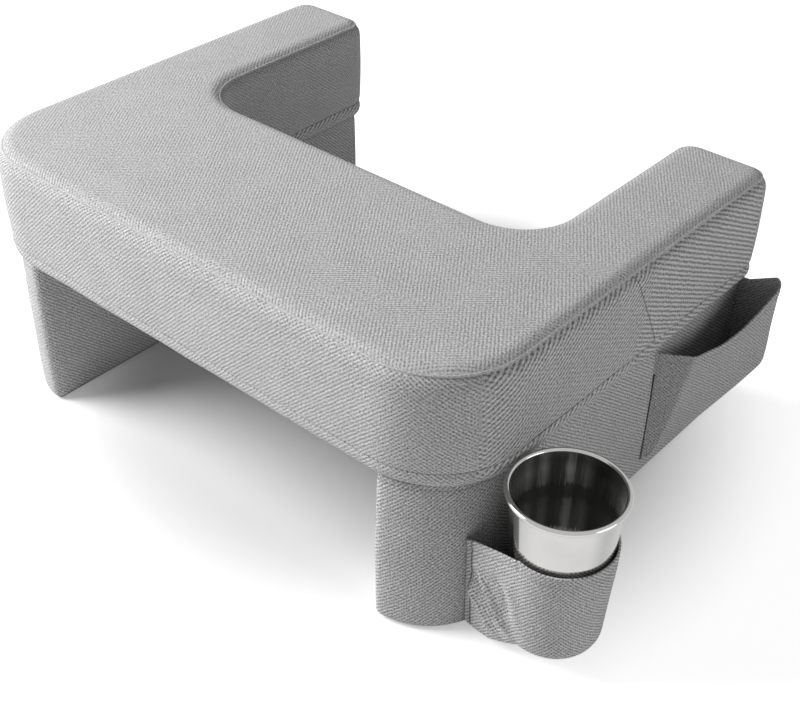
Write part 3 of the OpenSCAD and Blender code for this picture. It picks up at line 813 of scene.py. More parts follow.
# Closes the open end of a laid strip with a flat face, and cuts that face into small squares
def fillFlat(piece, height, square):
    makeActive(piece)
    mesh = piece.data
    bpy.ops.object.mode_set(mode="EDIT")
    bpy.ops.mesh.select_all(action="DESELECT")
    bpy.ops.object.mode_set(mode="OBJECT")
    flatEdge = [abs(v.co.z - height) < 1e-6 for v in mesh.vertices]
    for edge in mesh.edges:
        edge.select = all(flatEdge[k] for k in edge.vertices)
    for vertex, chosen in zip(mesh.vertices, flatEdge):
        vertex.select = chosen
    bpy.ops.object.mode_set(mode="EDIT")
    bpy.ops.mesh.edge_face_add()
    low = Vector([min(v.co[k] for v in mesh.vertices) for k in range(3)])
    high = Vector([max(v.co[k] for v in mesh.vertices) for k in range(3)])
    for axis in (0, 1):
        direction = [0, 0, 0]
        direction[axis] = 1
        count = int((high[axis] - low[axis]) / square)
        for k in range(1, count + 1):
            place = [0, 0, 0]
            place[axis] = low[axis] + (k - 0.37) * square
            selectFlatFaces(piece, height)
            bpy.ops.mesh.bisect(plane_co=place, plane_no=direction)
    bpy.ops.object.mode_set(mode="OBJECT")


def selectFlatFaces(piece, height):
    bpy.ops.mesh.select_mode(type="FACE")
    bpy.ops.mesh.select_all(action="DESELECT")
    bpy.ops.object.mode_set(mode="OBJECT")
    mesh = piece.data
    centres = np.empty(len(mesh.polygons) * 3)
    mesh.polygons.foreach_get("center", centres)
    flat = np.abs(centres.reshape(-1, 3)[:, 2] - height) < 1e-6
    mesh.polygons.foreach_set("select", flat)
    bpy.ops.object.mode_set(mode="EDIT")


# On a flat panel the pattern is the plan itself, over the soft edge as well
def flatPattern(piece, height):
    mesh = piece.data
    coords = np.empty(len(mesh.vertices) * 3)
    mesh.vertices.foreach_get("co", coords)
    coords = coords.reshape(-1, 3)
    corners = np.empty(len(mesh.loops), dtype=np.int64)
    mesh.loops.foreach_get("vertex_index", corners)
    mesh.uv_layers[0].data.foreach_set("uv", coords[:, :2][corners].astype(np.float32).ravel())
    mesh.update()


def topPanel():
    points, flat = sweepCloth(wholePlan, topSection)
    points[:, -1, 2] = slabTop
    piece = layCloth("top_panel_cloth", points, flat, True)
    fillFlat(piece, slabTop, 0.012)
    flatPattern(piece, slabTop)
    mesh = piece.data
    for vertex in mesh.vertices:
        x, y, z = vertex.co
        vertex.co.z += 0.0006 * noise.noise(Vector((x / 0.09, y / 0.09, 2.3)))
    thicken(piece, slab["clothThickness"])
    return finishPiece(piece, "tray", "cover_fabric", topCloth, "top_panel")


topPanel()
print("slab cover laid")


# A cord or welt: a round section laid along a plan line, at one place in the section
def weltRound(plan, out, height, radius, count):
    section = arcPoints(out, height, radius, 0, 360, count)
    points, flat = sweepCloth(plan, section)
    points[:, -1] = points[:, 0]
    return points, flat


def topWelt():
    radius = 0.0014
    middle = slab["softEdge"] - slab["clothThickness"] + radius * 0.9
    out = edgeOut + middle * math.cos(math.radians(seamTurn))
    height = edgeZ + middle * math.sin(math.radians(seamTurn))
    points, flat = weltRound(slabPlan(0, 0.004), out, height, radius, 10)
    piece = layCloth("top_edge_welt_cord", points, flat, True)
    smoothShade(piece, 80)
    return finishPiece(piece, "tray", "seam_fabric", weltCloth, "top_edge_welt")


# One stitch is modelled, then a copy of it is laid at every place along a seam
def makeStitch(length, radius):
    deselectAll()
    bpy.ops.mesh.primitive_uv_sphere_add(segments=6, ring_count=5, radius=1)
    stitch = bpy.context.object
    coords = np.array([v.co for v in stitch.data.vertices])
    faces = [list(f.vertices) for f in stitch.data.polygons]
    bpy.data.objects.remove(stitch)
    return coords[:, (2, 1, 0)] * (length / 2, radius, radius), faces


def stitchRow(name, body, seams, length=0.0026, pitch=0.0038, radius=0.00035):
    coords, faces = makeStitch(length, radius)
    allCoords = []
    allFaces = []
    for line, normals in seams:
        run = np.r_[0, np.cumsum(np.linalg.norm(np.diff(line, axis=0), axis=1))]
        for where in np.arange(pitch / 2, run[-1], pitch):
            centre = [np.interp(where, run, line[:, k]) for k in range(3)]
            ahead = [np.interp(where + 0.0004, run, line[:, k]) for k in range(3)]
            behind = [np.interp(where - 0.0004, run, line[:, k]) for k in range(3)]
            up = np.array([np.interp(where, run, normals[:, k]) for k in range(3)])
            along = np.array(ahead) - np.array(behind)
            along /= np.linalg.norm(along)
            across = np.cross(up, along)
            across /= np.linalg.norm(across)
            up = np.cross(along, across)
            first = len(allCoords) * len(coords)
            allCoords.append(np.array(centre) + coords @ np.array([along, across, up]))
            allFaces += [[k + first for k in f] for f in faces]
    mesh = bpy.data.meshes.new(name)
    stacked = np.concatenate(allCoords)
    stacked[:, 0] += middleX
    mesh.from_pydata(stacked.tolist(), [], allFaces)
    piece = bpy.data.objects.new(name, mesh)
    bpy.context.scene.collection.objects.link(piece)
    editMesh(piece, pointOutwards)
    smoothShade(piece, 80)
    return finishPiece(piece, body, "seam_fabric", threadCloth)


# The line that one row of a laid cloth makes, lifted a little off it
def seamLine(points, index, lift, closed=False):
    normals = gridNormals(points, closed)[:, index]
    return points[:, index] + normals * lift, normals


# The same up the cloth, at one place along it
def riseLine(points, index, lift, closed=False):
    normals = gridNormals(points, closed)[index]
    return points[index] + normals * lift, normals


def legPlan(step):
    big = legs["frontRadius"]
    small = legs["edgeRadius"]
    inner = legIn + small
    down = math.sqrt((big - small) ** 2 - (inner - legIn) ** 2)
    meet = math.degrees(math.atan2(down, inner - legIn))
    rear = legBack - (legFront + big) - small
    legsRound = [
        rear, (small, 90), legOut - small - slotOut, slotOut - slotIn, slotIn - legIn - small, (small, 90),
        legBack - small - (legFront + big - down), (small, 180 - meet), (big, meet),
    ]
    return walkPlan(legOut, legFront + big, 90, legsRound, step)


wrapLow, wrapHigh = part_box("right_leg_wrap")
legIn = wrapLow.x - middleX
legOut = wrapHigh.x - middleX
legFront = wrapLow.y
legBack = wrapHigh.y
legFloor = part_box("right_leg_base")[0].z
legLow = wrapLow.z
legTop = wrapHigh.z
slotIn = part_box("right_zip_slider")[0].x - middleX - legs["slotRoom"]
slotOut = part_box("right_zip_slider")[1].x - middleX + legs["slotRoom"]
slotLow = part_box("right_zip_outer_coil")[0].z - legs["slotEnd"]
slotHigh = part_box("right_zip_outer_coil")[1].z + legs["slotEnd"]


def rightLegWrap():
    plan = legPlan(legs["step"])
    section = arcPoints(-0.005, legLow + 0.005, 0.005, -90, 0, 4)
    stops = [legLow + 0.005, slotLow, slotHigh, legTop - 0.0002]
    for first, last in zip(stops, stops[1:]):
        section += straightPoints((0, first), (0, last), legs["step"])
    points, flat = sweepCloth(plan, section)
    height = points[:, :, 2]
    amount = legs["swell"] * np.sin(np.pi * np.clip(height / legTop, 0, 1))
    amount -= legs["tuck"] * gauss(legTop - height, 0.004)
    amount += 0.0005 * ripple(points, 0.06, 5.5)
    amount += 0.0004 * ripple(points, 0.010, 2.2) * gauss(legTop - height, 0.018)
    amount *= np.clip((height - legLow) / 0.01, 0, 1)
    amount += drawTowardsPocket(points)
    amount *= 1 - gauss(fromSlot(points), legs["slotFlat"])
    points = raiseCloth(points, amount, True)
    piece = layCloth("right_leg_wrap_cloth", points, flat, True)
    cutZipSlot(piece)
    thicken(piece, slab["clothThickness"])
    return piece, points, flat[-1, -1]


# How far points are from the opening for the zip, in the leg's end
def fromSlot(points):
    aside = np.maximum(slotIn - points[:, :, 0], points[:, :, 0] - slotOut)
    above = np.maximum(slotLow - points[:, :, 2], points[:, :, 2] - slotHigh)
    return np.linalg.norm([np.maximum(aside, 0), np.maximum(above, 0), legBack - points[:, :, 1]], axis=0)


def cutZipSlot(piece):
    makeActive(piece)
    bpy.ops.object.mode_set(mode="EDIT")
    bpy.ops.mesh.select_mode(type="FACE")
    bpy.ops.mesh.select_all(action="DESELECT")
    bpy.ops.object.mode_set(mode="OBJECT")
    for face in piece.data.polygons:
        x, y, z = face.center
        face.select = slotIn < x - middleX < slotOut and slotLow < z < slotHigh and y > legBack - 0.001
    bpy.ops.object.mode_set(mode="EDIT")
    bpy.ops.mesh.delete(type="FACE")
    bpy.ops.object.mode_set(mode="OBJECT")


# The seams that hold a zip's tapes, one on each side of its slot
def slotSeams():
    heights = np.linspace(slotLow, slotHigh, 40)
    seams = []
    for x in (slotIn - legs["slotSeam"], slotOut + legs["slotSeam"]):
        line = np.array([(x, legBack + 0.0002, z) for z in heights])
        seams.append((line, np.tile((0.0, 1.0, 0.0), (len(line), 1))))
    return seams


# Slight folds that run from the cup pocket's seam across the leg
def drawTowardsPocket(points):
    seam = np.array([legOut - 0.011, cupY - pocketRadius, pocketTop])
    reach = points - seam
    away = np.linalg.norm(reach, axis=2)
    slope = np.arctan2(reach[:, :, 2], -reach[:, :, 1] + 0.0001)
    folds = np.cos(slope * 7.0) * gauss(away, 0.055) * np.clip(away / 0.02, 0, 1)
    near = (points[:, :, 1] < cupY) & (points[:, :, 2] > 0.06)
    return 0.0009 * folds * near


def baseShell(side):
    plan = legPlan(legs["step"])
    top = legLow - 0.0002
    section = [(-0.0085, legFloor), (-0.0068, legFloor)]
    section += arcPoints(-0.0056, legFloor + 0.0012, 0.0012, -90, 60, 4)
    section += [(-0.0066, top), (-0.0085, top)]
    points, flat = sweepCloth(plan, section)
    piece = layCloth(f"{side}_leg_base_grip", points, flat, True)
    capEnds(piece, (legFloor, top))
    return piece


# Closes the open loops of a laid strip at the given heights
def capEnds(piece, heights):
    for height in heights:
        makeActive(piece)
        bpy.ops.object.mode_set(mode="EDIT")
        bpy.ops.mesh.select_mode(type="VERT")
        bpy.ops.mesh.select_all(action="DESELECT")
        bpy.ops.mesh.select_non_manifold(extend=False)
        bpy.ops.object.mode_set(mode="OBJECT")
        for edge in piece.data.edges:
            level = all(abs(piece.data.vertices[k].co.z - height) < 1e-5 for k in edge.vertices)
            edge.select = edge.select and level
        for vertex in piece.data.vertices:
            vertex.select = vertex.select and abs(vertex.co.z - height) < 1e-5
        bpy.ops.object.mode_set(mode="EDIT")
        bpy.ops.mesh.edge_face_add()
        bpy.ops.mesh.select_mode(type="FACE")
        bpy.ops.object.mode_set(mode="OBJECT")
    editMesh(piece, pointOutwards)


cupLow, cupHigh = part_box("steel_cup")
cupX = (cupLow.x + cupHigh.x) / 2 - middleX
cupY = (cupLow.y + cupHigh.y) / 2
cupFoot = cupLow.z
cupTop = cupHigh.z
pocketWallLow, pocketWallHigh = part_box("cup_pocket_wall")
pocketRadius = (pocketWallHigh.y - pocketWallLow.y) / 2
pocketFoot = pocketWallLow.z
pocketTop = pocketWallHigh.z
bookLow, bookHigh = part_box("book_pocket_panel")


def buildLegs():
    wrap, points, cut = rightLegWrap()
    other = mirroredCopy(wrap, "left_leg_wrap_cloth")
    finishPiece(wrap, "tray", "cover_fabric", legCloth, "right_leg_wrap")
    finishPiece(other, "tray", "cover_fabric", legCloth, "left_leg_wrap")
    seams = [seamLine(points, -2, 0.0002, True)] + slotSeams()
    stitchRow("right_leg_seam_stitches", "tray", seams)
    mirroredSeams = [(line * (-1, 1, 1), normals * (-1, 1, 1)) for line, normals in seams]
    stitchRow("left_leg_seam_stitches", "tray", mirroredSeams)
    base = baseShell("right")
    otherBase = mirroredCopy(base, "left_leg_base_grip")
    for piece, node in ((base, "right_leg_base"), (otherBase, "left_leg_base")):
        smoothShade(piece, 40)
        finishPiece(piece, "tray", "grip_base", gripCloth, node)


# The cup is one line turned about its own axis: foot, wall, rolled rim and the inside
def steelCup():
    height = cupTop - cupFoot
    wall = cup["wall"]
    bead = cup["bead"]
    foot = cup["baseRadius"]
    turn = cup["footTurn"]
    rim = cup["topRadius"]
    beadMiddle = rim + bead - wall
    line = [(0, 0.0014), (foot * 0.62, 0.0014)]
    line += arcPoints(foot * 0.66, 0.0006, 0.0008, 150, 60, 3)
    line += [(foot * 0.72, 0)]
    line += arcPoints(foot - turn, turn, turn, -90, 0, 6)
    line += straightPoints((foot, turn), (rim, height - 2 * bead), 0.012)
    line += arcPoints(beadMiddle, height - bead, bead, -120, 165, 12)
    line += straightPoints((rim - wall, height - bead), (foot - wall, turn + wall), 0.012)
    line += arcPoints(foot - turn, turn + wall, turn - wall, 0, -90, 6)
    line += [(foot * 0.72, 2 * wall), (foot * 0.66, 0.0014 + wall), (0, 0.0014 + wall)]
    mesh = bpy.data.meshes.new("steel_cup_shell")
    corners = [(cupX + middleX + out, cupY, cupFoot + up) for out, up in line]
    mesh.from_pydata(corners, [(k, k + 1) for k in range(len(corners) - 1)], [])
    piece = bpy.data.objects.new("steel_cup_shell", mesh)
    bpy.context.scene.collection.objects.link(piece)
    axis = (cupX + middleX, cupY, 0)
    editMesh(
        piece,
        lambda: bpy.ops.mesh.spin(steps=cup["steps"], angle=2 * math.pi, center=axis, axis=(0, 0, 1)),
    )
    editMesh(piece, mergeDoubles, pointOutwards)
    smoothShade(piece, 50)
    finishPiece(piece, "cup", "cup_steel", steelFinish, "steel_cup")
    piece.data.materials.append(paintedReflectionSteelMaterial(cupInsidePaintedLight))
    for face in piece.data.polygons:
        out = Vector((face.center.x - axis[0], face.center.y - axis[1]))
        faces = out.dot(face.normal.xy) < 0 or face.normal.z > 0.9
        low = face.center.z < cupTop - 2.5 * bead
        face.material_index = 1 if faces and low else 0
    return piece


# The pocket's plan at one radius: a straight front side, round the cup, and straight back to the leg
def cupPocketLine(radius):
    turn = math.radians(cupPocket["frontTurn"])
    along = np.array([math.cos(turn), -math.sin(turn)])
    centre = np.array([cupX, cupY])
    touch = centre + radius * np.array([-math.sin(turn), -math.cos(turn)])
    toCorner = touch - (legOut - legs["frontRadius"], legFront + legs["frontRadius"])
    ahead = toCorner @ along
    reach = ahead - math.sqrt(ahead ** 2 - toCorner @ toCorner + legs["frontRadius"] ** 2) - 0.0005
    start = touch - reach * along
    front = start + (touch - start) * np.linspace(0, 1, webColumns + 1)[:, None]
    angles = np.radians(np.linspace(-90 - cupPocket["frontTurn"], 90, roundColumns + 1))[1:]
    ring = centre + radius * np.stack([np.cos(angles), np.sin(angles)], axis=1)
    rear = ring[-1] + ((legOut, cupY + radius) - ring[-1]) * np.linspace(0, 1, webColumns + 1)[1:, None]
    return np.concatenate([front, ring, rear])


webColumns = 40
roundColumns = 66


# How far every point is from a line through places, and how far along the line it is nearest
def nearLine(along, down, places):
    best = np.full(along.shape, 1e9)
    share = np.zeros(along.shape)
    places = np.array(places)
    for k in range(len(places) - 1):
        leg = places[k + 1] - places[k]
        t = ((along - places[k, 0]) * leg[0] + (down - places[k, 1]) * leg[1]) / (leg @ leg)
        t = np.clip(t, 0, 1)
        away = np.hypot(along - places[k, 0] - t * leg[0], down - places[k, 1] - t * leg[1])
        share = np.where(away < best, (k + t) / (len(places) - 1), share)
        best = np.minimum(away, best)
    return best, share


def cupPocketWall():
    turn = cupPocket["bottomTurn"]
    taper = cupPocket["taper"]
    low = pocketFoot
    section = [(-turn - taper - 0.004, low)]
    section += arcPoints(-turn - taper, low + turn, turn, -90, 0, 6)
    section += straightPoints((-taper, low + turn), (0, pocketTop), cupPocket["step"])
    section = np.array(section)
    plans = np.stack([cupPocketLine(pocketRadius + out) for out in section[:, 0]], axis=1)
    columns = len(plans)
    web = np.clip(1 - np.arange(columns) / webColumns, 0, 1)
    flatter = np.stack([cupPocketLine(pocketRadius + 0.35 * out) for out in section[:, 0]], axis=1)
    fullness = np.clip(web * 2.0, 0, 1)[:, None, None]
    plans = plans * (1 - fullness) + flatter * fullness
    rise = (section[:, 1] - low) / (pocketTop - low)
    points = np.empty((columns, len(section), 3))
    points[:, :, :2] = plans
    footDip = cupPocket["footDip"] * (1 - (1 - web) ** 2)[:, None]
    mouthDip = cupPocket["mouthDip"] * (web ** 1.15)[:, None]
    points[:, :, 2] = section[None, :, 1] - footDip * (1 - rise) - mouthDip * rise
    steps = np.linalg.norm(np.diff(points[:, :, :2], axis=0), axis=2)
    run = np.concatenate([np.zeros((1, len(section))), np.cumsum(steps, axis=0)])
    height = points[:, :, 2]
    down = height[:, -1:] - height
    flat = np.stack([run - run[webColumns], height], axis=2)
    amount = 0.0006 * ripple(points, 0.04, 9.3)
    for tall, wide, places in cupPocket["folds"]:
        away, share = nearLine(run, down, places)
        amount += tall * gauss(away, wide) * np.clip(np.minimum(share, 1 - share) * 4 + 0.15, 0, 1)
    amount -= 0.0010 * gauss(run - 0.0085, 0.0011)
    amount += 0.0006 * gauss(run - 0.0050, 0.0030)
    amount *= np.clip(np.minimum(run, run[-1] - run) / 0.004, 0, 1)
    amount -= 0.0010 * gauss(down - cupPocket["hemHeight"], 0.0016)
    amount += 0.0006 * (down < cupPocket["hemHeight"])
    amount -= cupPocket["mouthDraw"] * np.clip(1 - down / 0.02, 0, 1) * (web == 0)[:, None]
    points = raiseCloth(points, amount, False)
    # Painted shadow lines along the seam against the leg and in the groove 8.5 mm from it
    seamShadowStrip = 0.00385 - np.abs(run - 0.00465)
    piece = layCloth("cup_pocket_wall_cloth", points, flat, False, np.where(run < 0.03, seamShadowStrip, 1.0))
    thicken(piece, 0.0018)
    finishPiece(piece, "tray", "cover_fabric", pocketCloth, "cup_pocket_wall", "cup_pocket_hem")
    hemRow = int(np.argmin(np.abs(down[webColumns + 10] - cupPocket["hemHeight"])))
    rows = [seamLine(points, hemRow, 0.0002)]
    rows += [riseLine(points[:, 4:], k, 0.0002) for k in (1, 6)]
    rows += [riseLine(points[:, 4:], columns - k, 0.0002) for k in (2, 7)]
    stitchRow("cup_pocket_stitches", "tray", rows)
    return points


# The floor is drawn in a little inside the wall's lower edge, front half to rear half
def cupPocketFloor(wall):
    line = wall[:, 0].copy()
    line[:, :2] += ((cupX, cupY) - line[:, :2]) * 0.02
    line[:, 2] += 0.0006
    half = len(line) // 2
    first = line[: half + 1]
    last = line[::-1][: half + 1]
    shares = np.linspace(0, 1, 15)[None, :, None]
    points = first[:, None, :] * (1 - shares) + last[:, None, :] * shares
    points = points[:, ::-1]
    sag = 0.0006 * np.sin(np.pi * shares[:, :, 0]) * np.ones((half + 1, 1))
    points[:, :, 2] -= sag
    flat = points[:, :, :2].copy()
    piece = layCloth("cup_pocket_floor_cloth", points[:-1], flat[:-1])
    thicken(piece, 0.0016)
    editMesh(piece, pointOutwards)
    return finishPiece(piece, "tray", "cover_fabric", pocketCloth, "cup_pocket_floor")


# A line through corners, each rounded to its radius, with a fixed number of points on every stretch
def roundedLine(corners, radii, counts, turnCount):
    corners = [np.array(corner) for corner in corners]
    line = [corners[0]]
    for k, radius in enumerate(radii, 1):
        ahead = (corners[k] - corners[k - 1]) / np.linalg.norm(corners[k] - corners[k - 1])
        after = (corners[k + 1] - corners[k]) / np.linalg.norm(corners[k + 1] - corners[k])
        turn = math.acos(ahead @ after)
        first = corners[k] - ahead * radius * math.tan(turn / 2)
        begin = line[-1]
        line += [begin + (first - begin) * (n + 1) / counts[k - 1] for n in range(counts[k - 1])]
        left = np.array([-ahead[1], ahead[0]])
        for n in range(1, turnCount + 1):
            now = turn * n / turnCount
            line.append(first + radius * (ahead * math.sin(now) + left * (1 - math.cos(now))))
    begin = line[-1]
    line += [begin + (corners[-1] - begin) * (n + 1) / counts[-1] for n in range(counts[-1])]
    return np.array(line)


# The book pocket's plan at one share of its height: out to the crease, to the rear corner, back to the leg
def bookPocketLine(share):
    reach = bookHigh.x - middleX
    grow = bookPocket["foldFoot"] + (1 - bookPocket["foldFoot"]) * share ** 0.8
    seamX = legOut + 0.0005
    corners = [
        (seamX, bookLow.y),
        (seamX + grow * bookPocket["foldOut"], bookLow.y + grow * bookPocket["foldIn"]),
        (reach, bookHigh.y),
        (seamX, bookHigh.y),
    ]
    radii = (bookPocket["foldRadius"] * grow, bookPocket["cornerRadius"])
    return roundedLine(corners, radii, (9, 34, 10), 8)


def bookPocketPanel():
    rows = bookPocket["rows"]
    shares = np.linspace(0, 1, rows + 1)
    plans = np.stack([bookPocketLine(share) for share in shares], axis=1)
    back = plans[:, :, 1] - bookLow.y
    footY, footZ = np.array(bookPocket["foot"]).T
    low = smoothThrough(back[:, 0], footY, footZ, 8)
    rear = back[:, 0] > footY[-1] - 0.0006
    leaving = (plans[:, 0, 0] - legOut) / (bookHigh.x - middleX - bookPocket["cornerRadius"] - legOut)
    low = np.where(rear, footZ[0] + (low - footZ[0]) * np.clip(leaving, 0, 1), low)
    mouthY, mouthZ = np.array(bookPocket["mouth"]).T
    high = smoothThrough(back[:, -1], mouthY, mouthZ, 20)
    slope = (mouthZ[-1] - slabBottom) / (bookHigh.x - middleX - bookPocket["cornerRadius"] - halfWide)
    high = np.minimum(high, slabBottom - 0.0005 + slope * np.maximum(plans[:, -1, 0] - halfWide, 0))
    points = np.empty((len(plans), rows + 1, 3))
    points[:, :, :2] = plans
    points[:, :, 2] = low[:, None] * (1 - shares) + high[:, None] * shares
    steps = np.linalg.norm(np.diff(points, axis=0), axis=2)
    run = np.concatenate([np.zeros((1, rows + 1)), np.cumsum(steps, axis=0)])
    cornerColumn = 9 + 8 + 34
    flat = np.stack([run - run[cornerColumn], points[:, :, 2]], axis=2)
    height = points[:, :, 2]
    fromTop = high[:, None] - height
    fromLow = height - low[:, None]
    calm = np.clip(fromTop / 0.03, 0, 1)
    amount = 0.0010 * ripple(points, 0.05, 6.1) * calm
    amount -= 0.0050 * gauss(fromLow, 0.007)
    amount *= np.clip(np.minimum(run, run[-1] - run) / 0.008, 0, 1)
    amount += 0.0005 * (fromTop < bookPocket["hemHeight"])
    amount -= 0.0008 * gauss(fromTop - bookPocket["hemHeight"], 0.0016)
    points = raiseCloth(points, amount, False)
    # A painted shadow line 1.4 mm from the front seam, below the height given in the pocket's table
    gapShadowSeen = (run < 0.03) & (height < bookPocket["gapShadowTop"])
    piece = layCloth("book_pocket_panel_cloth", points, flat, False, np.where(gapShadowSeen, run - 0.0014, 1.0))
    thicken(piece, 0.0018)
    finishPiece(piece, "tray", "cover_fabric", bookCloth, "book_pocket_panel", "book_pocket_hem")
    hemShare = 1 - bookPocket["hemHeight"] / float((high - low).mean())
    hemRow = int(round(hemShare * rows))
    seams = [seamLine(points[:-10], hemRow, 0.0002), riseLine(points, 1, 0.0002)]
    stitchRow("book_pocket_stitches", "tray", seams)
    return points


# Heights between given places, without a corner at any of them
def smoothThrough(where, places, heights, width):
    fine = np.linspace(places[0], places[-1], 200)
    values = np.interp(fine, places, heights)
    step = (values[1] - values[0], values[-1] - values[-2])
    before = values[0] - step[0] * np.arange(width, 0, -1)
    after = values[-1] + step[1] * np.arange(1, width + 1)
    kernel = np.hanning(2 * width + 1)
    smooth = np.convolve(np.r_[before, values, after], kernel / kernel.sum(), mode="valid")
    return np.interp(where, fine, smooth)


# The gusset under the pocket: from the panel's lower edge back to the seam on the leg
def bookPocketFloor(panel):
    edge = panel[:, 0] + (0, 0, 0.0004)
    seam = edge.copy()
    seam[:, 0] = legOut + 0.0006
    seam[:, 2] = bookPocket["foot"][0][1]
    count = 16
    shares = np.linspace(0, 1, count + 1)[None, :, None]
    points = seam[:, None, :] * (1 - shares) + edge[:, None, :] * shares
    wide = np.linalg.norm(edge - seam, axis=1)[:, None]
    sag = 0.004 * np.sin(np.pi * shares[:, :, 0]) * np.clip(wide / 0.05, 0, 1)
    points[:, :, 2] += sag
    flat = np.empty(points.shape[:2] + (2,))
    flat[:, :, 0] = edge[:, 1, None]
    flat[:, :, 1] = shares[:, :, 0] * wide
    piece = layCloth("book_pocket_floor_cloth", points[1:-9], flat[1:-9])
    thicken(piece, 0.0016)
    editMesh(piece, pointOutwards)
    return finishPiece(piece, "tray", "cover_fabric", bookCloth, "book_pocket_floor")


# A foam block: its solid is remeshed, so that it can be rounded as cut foam is
def foamBlock(name, node):
    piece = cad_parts[node].copy()
    piece.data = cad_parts[node].data.copy()
    for key in [k for k in piece.keys() if k.startswith("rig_")]:
        del piece[key]
    piece.parent = None
    piece.name = name
    bpy.context.scene.collection.objects.link(piece)
    editMesh(piece, mergeDoubles)
    applyModifier(piece, "REMESH", mode="VOXEL", voxel_size=0.006, adaptivity=0.0)
    applyModifier(piece, "SMOOTH", factor=0.5, iterations=2)
    applyModifier(piece, "DISPLACE", strength=-0.0016, mid_level=0.0)
    smoothShade(piece, 50)
    finishPiece(piece, "tray", "foam", foamFinish, node)
    return piece


# A zip row: one tooth is modelled and copied along the row that the frame gives
def coilRow(node, body):
    low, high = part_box(node)
    middle = (low + high) / 2
    size = high - low
    axis = max(range(3), key=lambda k: size[k])
    pitch = 0.0015
    count = int(size[axis] / pitch)
    deselectAll()
    bpy.ops.mesh.primitive_uv_sphere_add(segments=6, ring_count=5, radius=0.5)
    tooth = bpy.context.object
    shape = np.array([v.co for v in tooth.data.vertices])
    faces = [list(f.vertices) for f in tooth.data.polygons]
    bpy.data.objects.remove(tooth)
    scale = np.array(size) * 1.0
    scale[axis] = pitch * 0.8
    coords = []
    allFaces = []
    for k in range(count):
        centre = np.array(middle)
        centre[axis] = low[axis] + (k + 0.5) * size[axis] / count
        allFaces += [[n + len(coords) * len(shape) for n in f] for f in faces]
        coords.append(centre + shape * scale)
    mesh = bpy.data.meshes.new(node + "_teeth")
    mesh.from_pydata(np.concatenate(coords).tolist(), [], allFaces)
    piece = bpy.data.objects.new(node + "_teeth", mesh)
    bpy.context.scene.collection.objects.link(piece)
    smoothShade(piece, 80)
    return finishPiece(piece, body, "zip_coil", coilPlastic, node)


# A small metal part: the solid's edges are rounded as a cast or pressed part's are
def softenedCopy(node, body, slotName, material, width):
    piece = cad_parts[node].copy()
    piece.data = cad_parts[node].data.copy()
    for key in [k for k in piece.keys() if k.startswith("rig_")]:
        del piece[key]
    piece.parent = None
    piece.name = node + "_cast"
    bpy.context.scene.collection.objects.link(piece)
    editMesh(piece, lambda: bpy.ops.mesh.remove_doubles(threshold=0.000005))
    applyModifier(piece, "DECIMATE", decimate_type="DISSOLVE", angle_limit=math.radians(2))
    applyModifier(piece, "BEVEL", width=width, segments=2, limit_method="ANGLE", angle_limit=math.radians(50))
    smoothShade(piece, 45)
    return finishPiece(piece, body, slotName, material, node)


def buildZips():
    for name, rows in (("under", ("front", "rear")), ("left", ("outer", "inner")), ("right", ("outer", "inner"))):
        for row in rows:
            coilRow(f"{name}_zip_{row}_coil", "tray")
            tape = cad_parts[f"{name}_zip_{row}_tape"]
            for slotPlace in tape.material_slots:
                slotPlace.material = tapeCloth
        softenedCopy(f"{name}_zip_stops", "tray", "zip_metal", zipMetal, 0.0002)
        softenedCopy(f"{name}_zip_slider", f"{name}_slider", "zip_metal", zipMetal, 0.0002)
        softenedCopy(f"{name}_zip_pull", f"{name}_pull", "zip_metal", zipMetal, 0.0002)


def undersidePanel():
    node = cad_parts["underside_panel"]
    piece = node.copy()
    piece.data = node.data.copy()
    for key in [k for k in piece.keys() if k.startswith("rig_")]:
        del piece[key]
    piece.parent = None
    piece.name = "underside_panel_cloth"
    bpy.context.scene.collection.objects.link(piece)
    editMesh(piece, mergeDoubles)
    if not piece.data.uv_layers:
        piece.data.uv_layers.new(name="UVMap")
    piece.data.uv_layers[0].name = "UVMap"
    flatPattern(piece, slabBottom)
    smoothShade(piece, 30)
    return finishPiece(piece, "tray", "cover_fabric", coverCloth, "underside_panel")


topWelt()
buildLegs()
print("legs built")
steelCup()
cupPocketFloor(cupPocketWall())
bookPocketFloor(bookPocketPanel())
print("cup and pockets built")
foamBlock("top_foam_block", "top_foam_core")
foamBlock("left_leg_foam_block", "left_leg_foam")
foamBlock("right_leg_foam_block", "right_leg_foam")
buildZips()
undersidePanel()
print("foam, zips and underside built")


def addCamera():
    azimuth = math.radians(viewpoint["azimuth"])
    elevation = math.radians(viewpoint["elevation"])
    lean = math.radians(viewpoint["lean"])
    back = Vector((
        math.sin(azimuth) * math.cos(elevation),
        -math.cos(azimuth) * math.cos(elevation),
        math.sin(elevation),
    ))
    level = Vector((0, 0, 1)).cross(back).normalized()
    upright = back.cross(level)
    across = level * math.cos(lean) + upright * math.sin(lean)
    up = upright * math.cos(lean) - level * math.sin(lean)
    data = bpy.data.cameras.new("camera")
    data.lens = viewpoint["lens"]
    data.sensor_width = 36
    camera = bpy.data.objects.new("camera", data)
    bpy.context.scene.collection.objects.link(camera)
    turn = Matrix((across, up, back)).transposed()
    target = Vector(viewpoint["target"]) + Vector((middleX, 0, 0))
    place = target + back * viewpoint["distance"]
    camera.matrix_world = Matrix.Translation(place) @ turn.to_4x4()
    bpy.context.scene.camera = camera


def addLamp(name, place, size, power):
    data = bpy.data.lights.new(name, "AREA")
    data.shape = "DISK"
    data.size = size
    data.energy = power
    lamp = bpy.data.objects.new(name, data)
    bpy.context.scene.collection.objects.link(lamp)
    lamp.location = place
    lamp.rotation_euler = (Vector((0, 0, 0.1)) - Vector(place)).to_track_quat("-Z", "Y").to_euler()


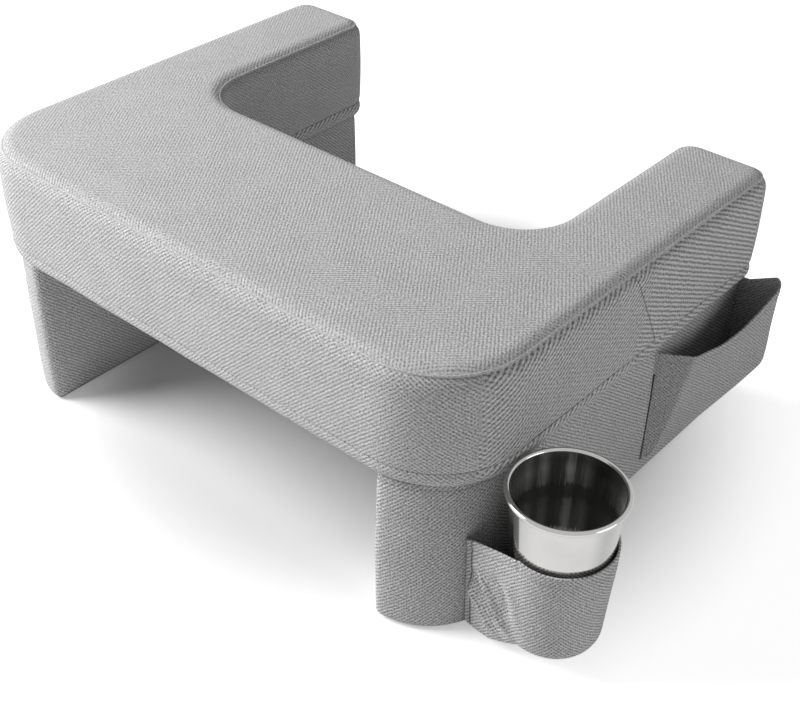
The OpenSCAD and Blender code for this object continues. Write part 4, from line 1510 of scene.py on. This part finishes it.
def cameraShare(tree, glossy):
    path = tree.nodes.new("ShaderNodeLightPath")
    share = path.outputs["Is Camera Ray"]
    if glossy:
        share = reckon(tree, "MAXIMUM", share, path.outputs["Is Glossy Ray"])
        share = reckon(tree, "MAXIMUM", share, path.outputs["Is Transmission Ray"])
    return share


# From below the floor isn't there, so the tray's underside can be looked at
def seeThroughBelow(tree, shader):
    side = tree.nodes.new("ShaderNodeNewGeometry")
    clear = tree.nodes.new("ShaderNodeBsdfTransparent")
    either = tree.nodes.new("ShaderNodeMixShader")
    tree.links.new(side.outputs["Backfacing"], either.inputs["Fac"])
    tree.links.new(shader.outputs["BSDF"], either.inputs[1])
    tree.links.new(clear.outputs["BSDF"], either.inputs[2])
    tree.links.new(either.outputs["Shader"], tree.nodes["Material Output"].inputs["Surface"])


def addStudio():
    deselectAll()
    bpy.ops.mesh.primitive_plane_add(size=studio["floorSize"])
    floor = bpy.context.object
    floor.name = "studio_floor"
    material, tree, shader = newMaterial("studio floor")
    shader.inputs["Base Color"].default_value = studio["floorColour"]
    shader.inputs["Roughness"].default_value = 0.9
    shader.inputs["Specular IOR Level"].default_value = 0.1
    shader.inputs["Emission Color"].default_value = (1, 1, 1, 1)
    source = tree.nodes.new("ShaderNodeTexCoord")
    away = tree.nodes.new("ShaderNodeVectorMath")
    away.operation = "DISTANCE"
    away.inputs[1].default_value = (middleX, 0, 0)
    tree.links.new(source.outputs["Object"], away.inputs[0])
    distance = away.outputs["Value"]
    near = rampAcross(tree, distance, studio["glowFrom"], studio["glowTo"])
    far = rampAcross(tree, distance, studio["whiteFrom"], studio["whiteTo"])
    glow = reckon(tree, "MULTIPLY_ADD", far, 1 - studio["glow"], reckon(tree, "MULTIPLY", near, studio["glow"]))
    tree.links.new(reckon(tree, "MULTIPLY", cameraShare(tree, True), glow), shader.inputs["Emission Strength"])
    seeThroughBelow(tree, shader)
    floor.data.materials.append(material)
    world = bpy.data.worlds.new("studio")
    bpy.context.scene.world = world
    world.use_nodes = True
    tree = world.node_tree
    sky = tree.nodes["Background"]
    share = cameraShare(tree, True)
    strength = reckon(tree, "MULTIPLY_ADD", share, 1 - studio["skyLight"], studio["skyLight"])
    sky.inputs["Color"].default_value = (1, 1, 1, 1)
    tree.links.new(strength, sky.inputs["Strength"])
    addLamp("key lamp", studio["keyPlace"], studio["keySize"], studio["keyPower"])
    addLamp("fill lamp", studio["fillPlace"], studio["fillSize"], studio["fillPower"])
    bpy.context.scene.view_settings.view_transform = "Standard"


addCamera()
addStudio()
print("camera and studio placed")
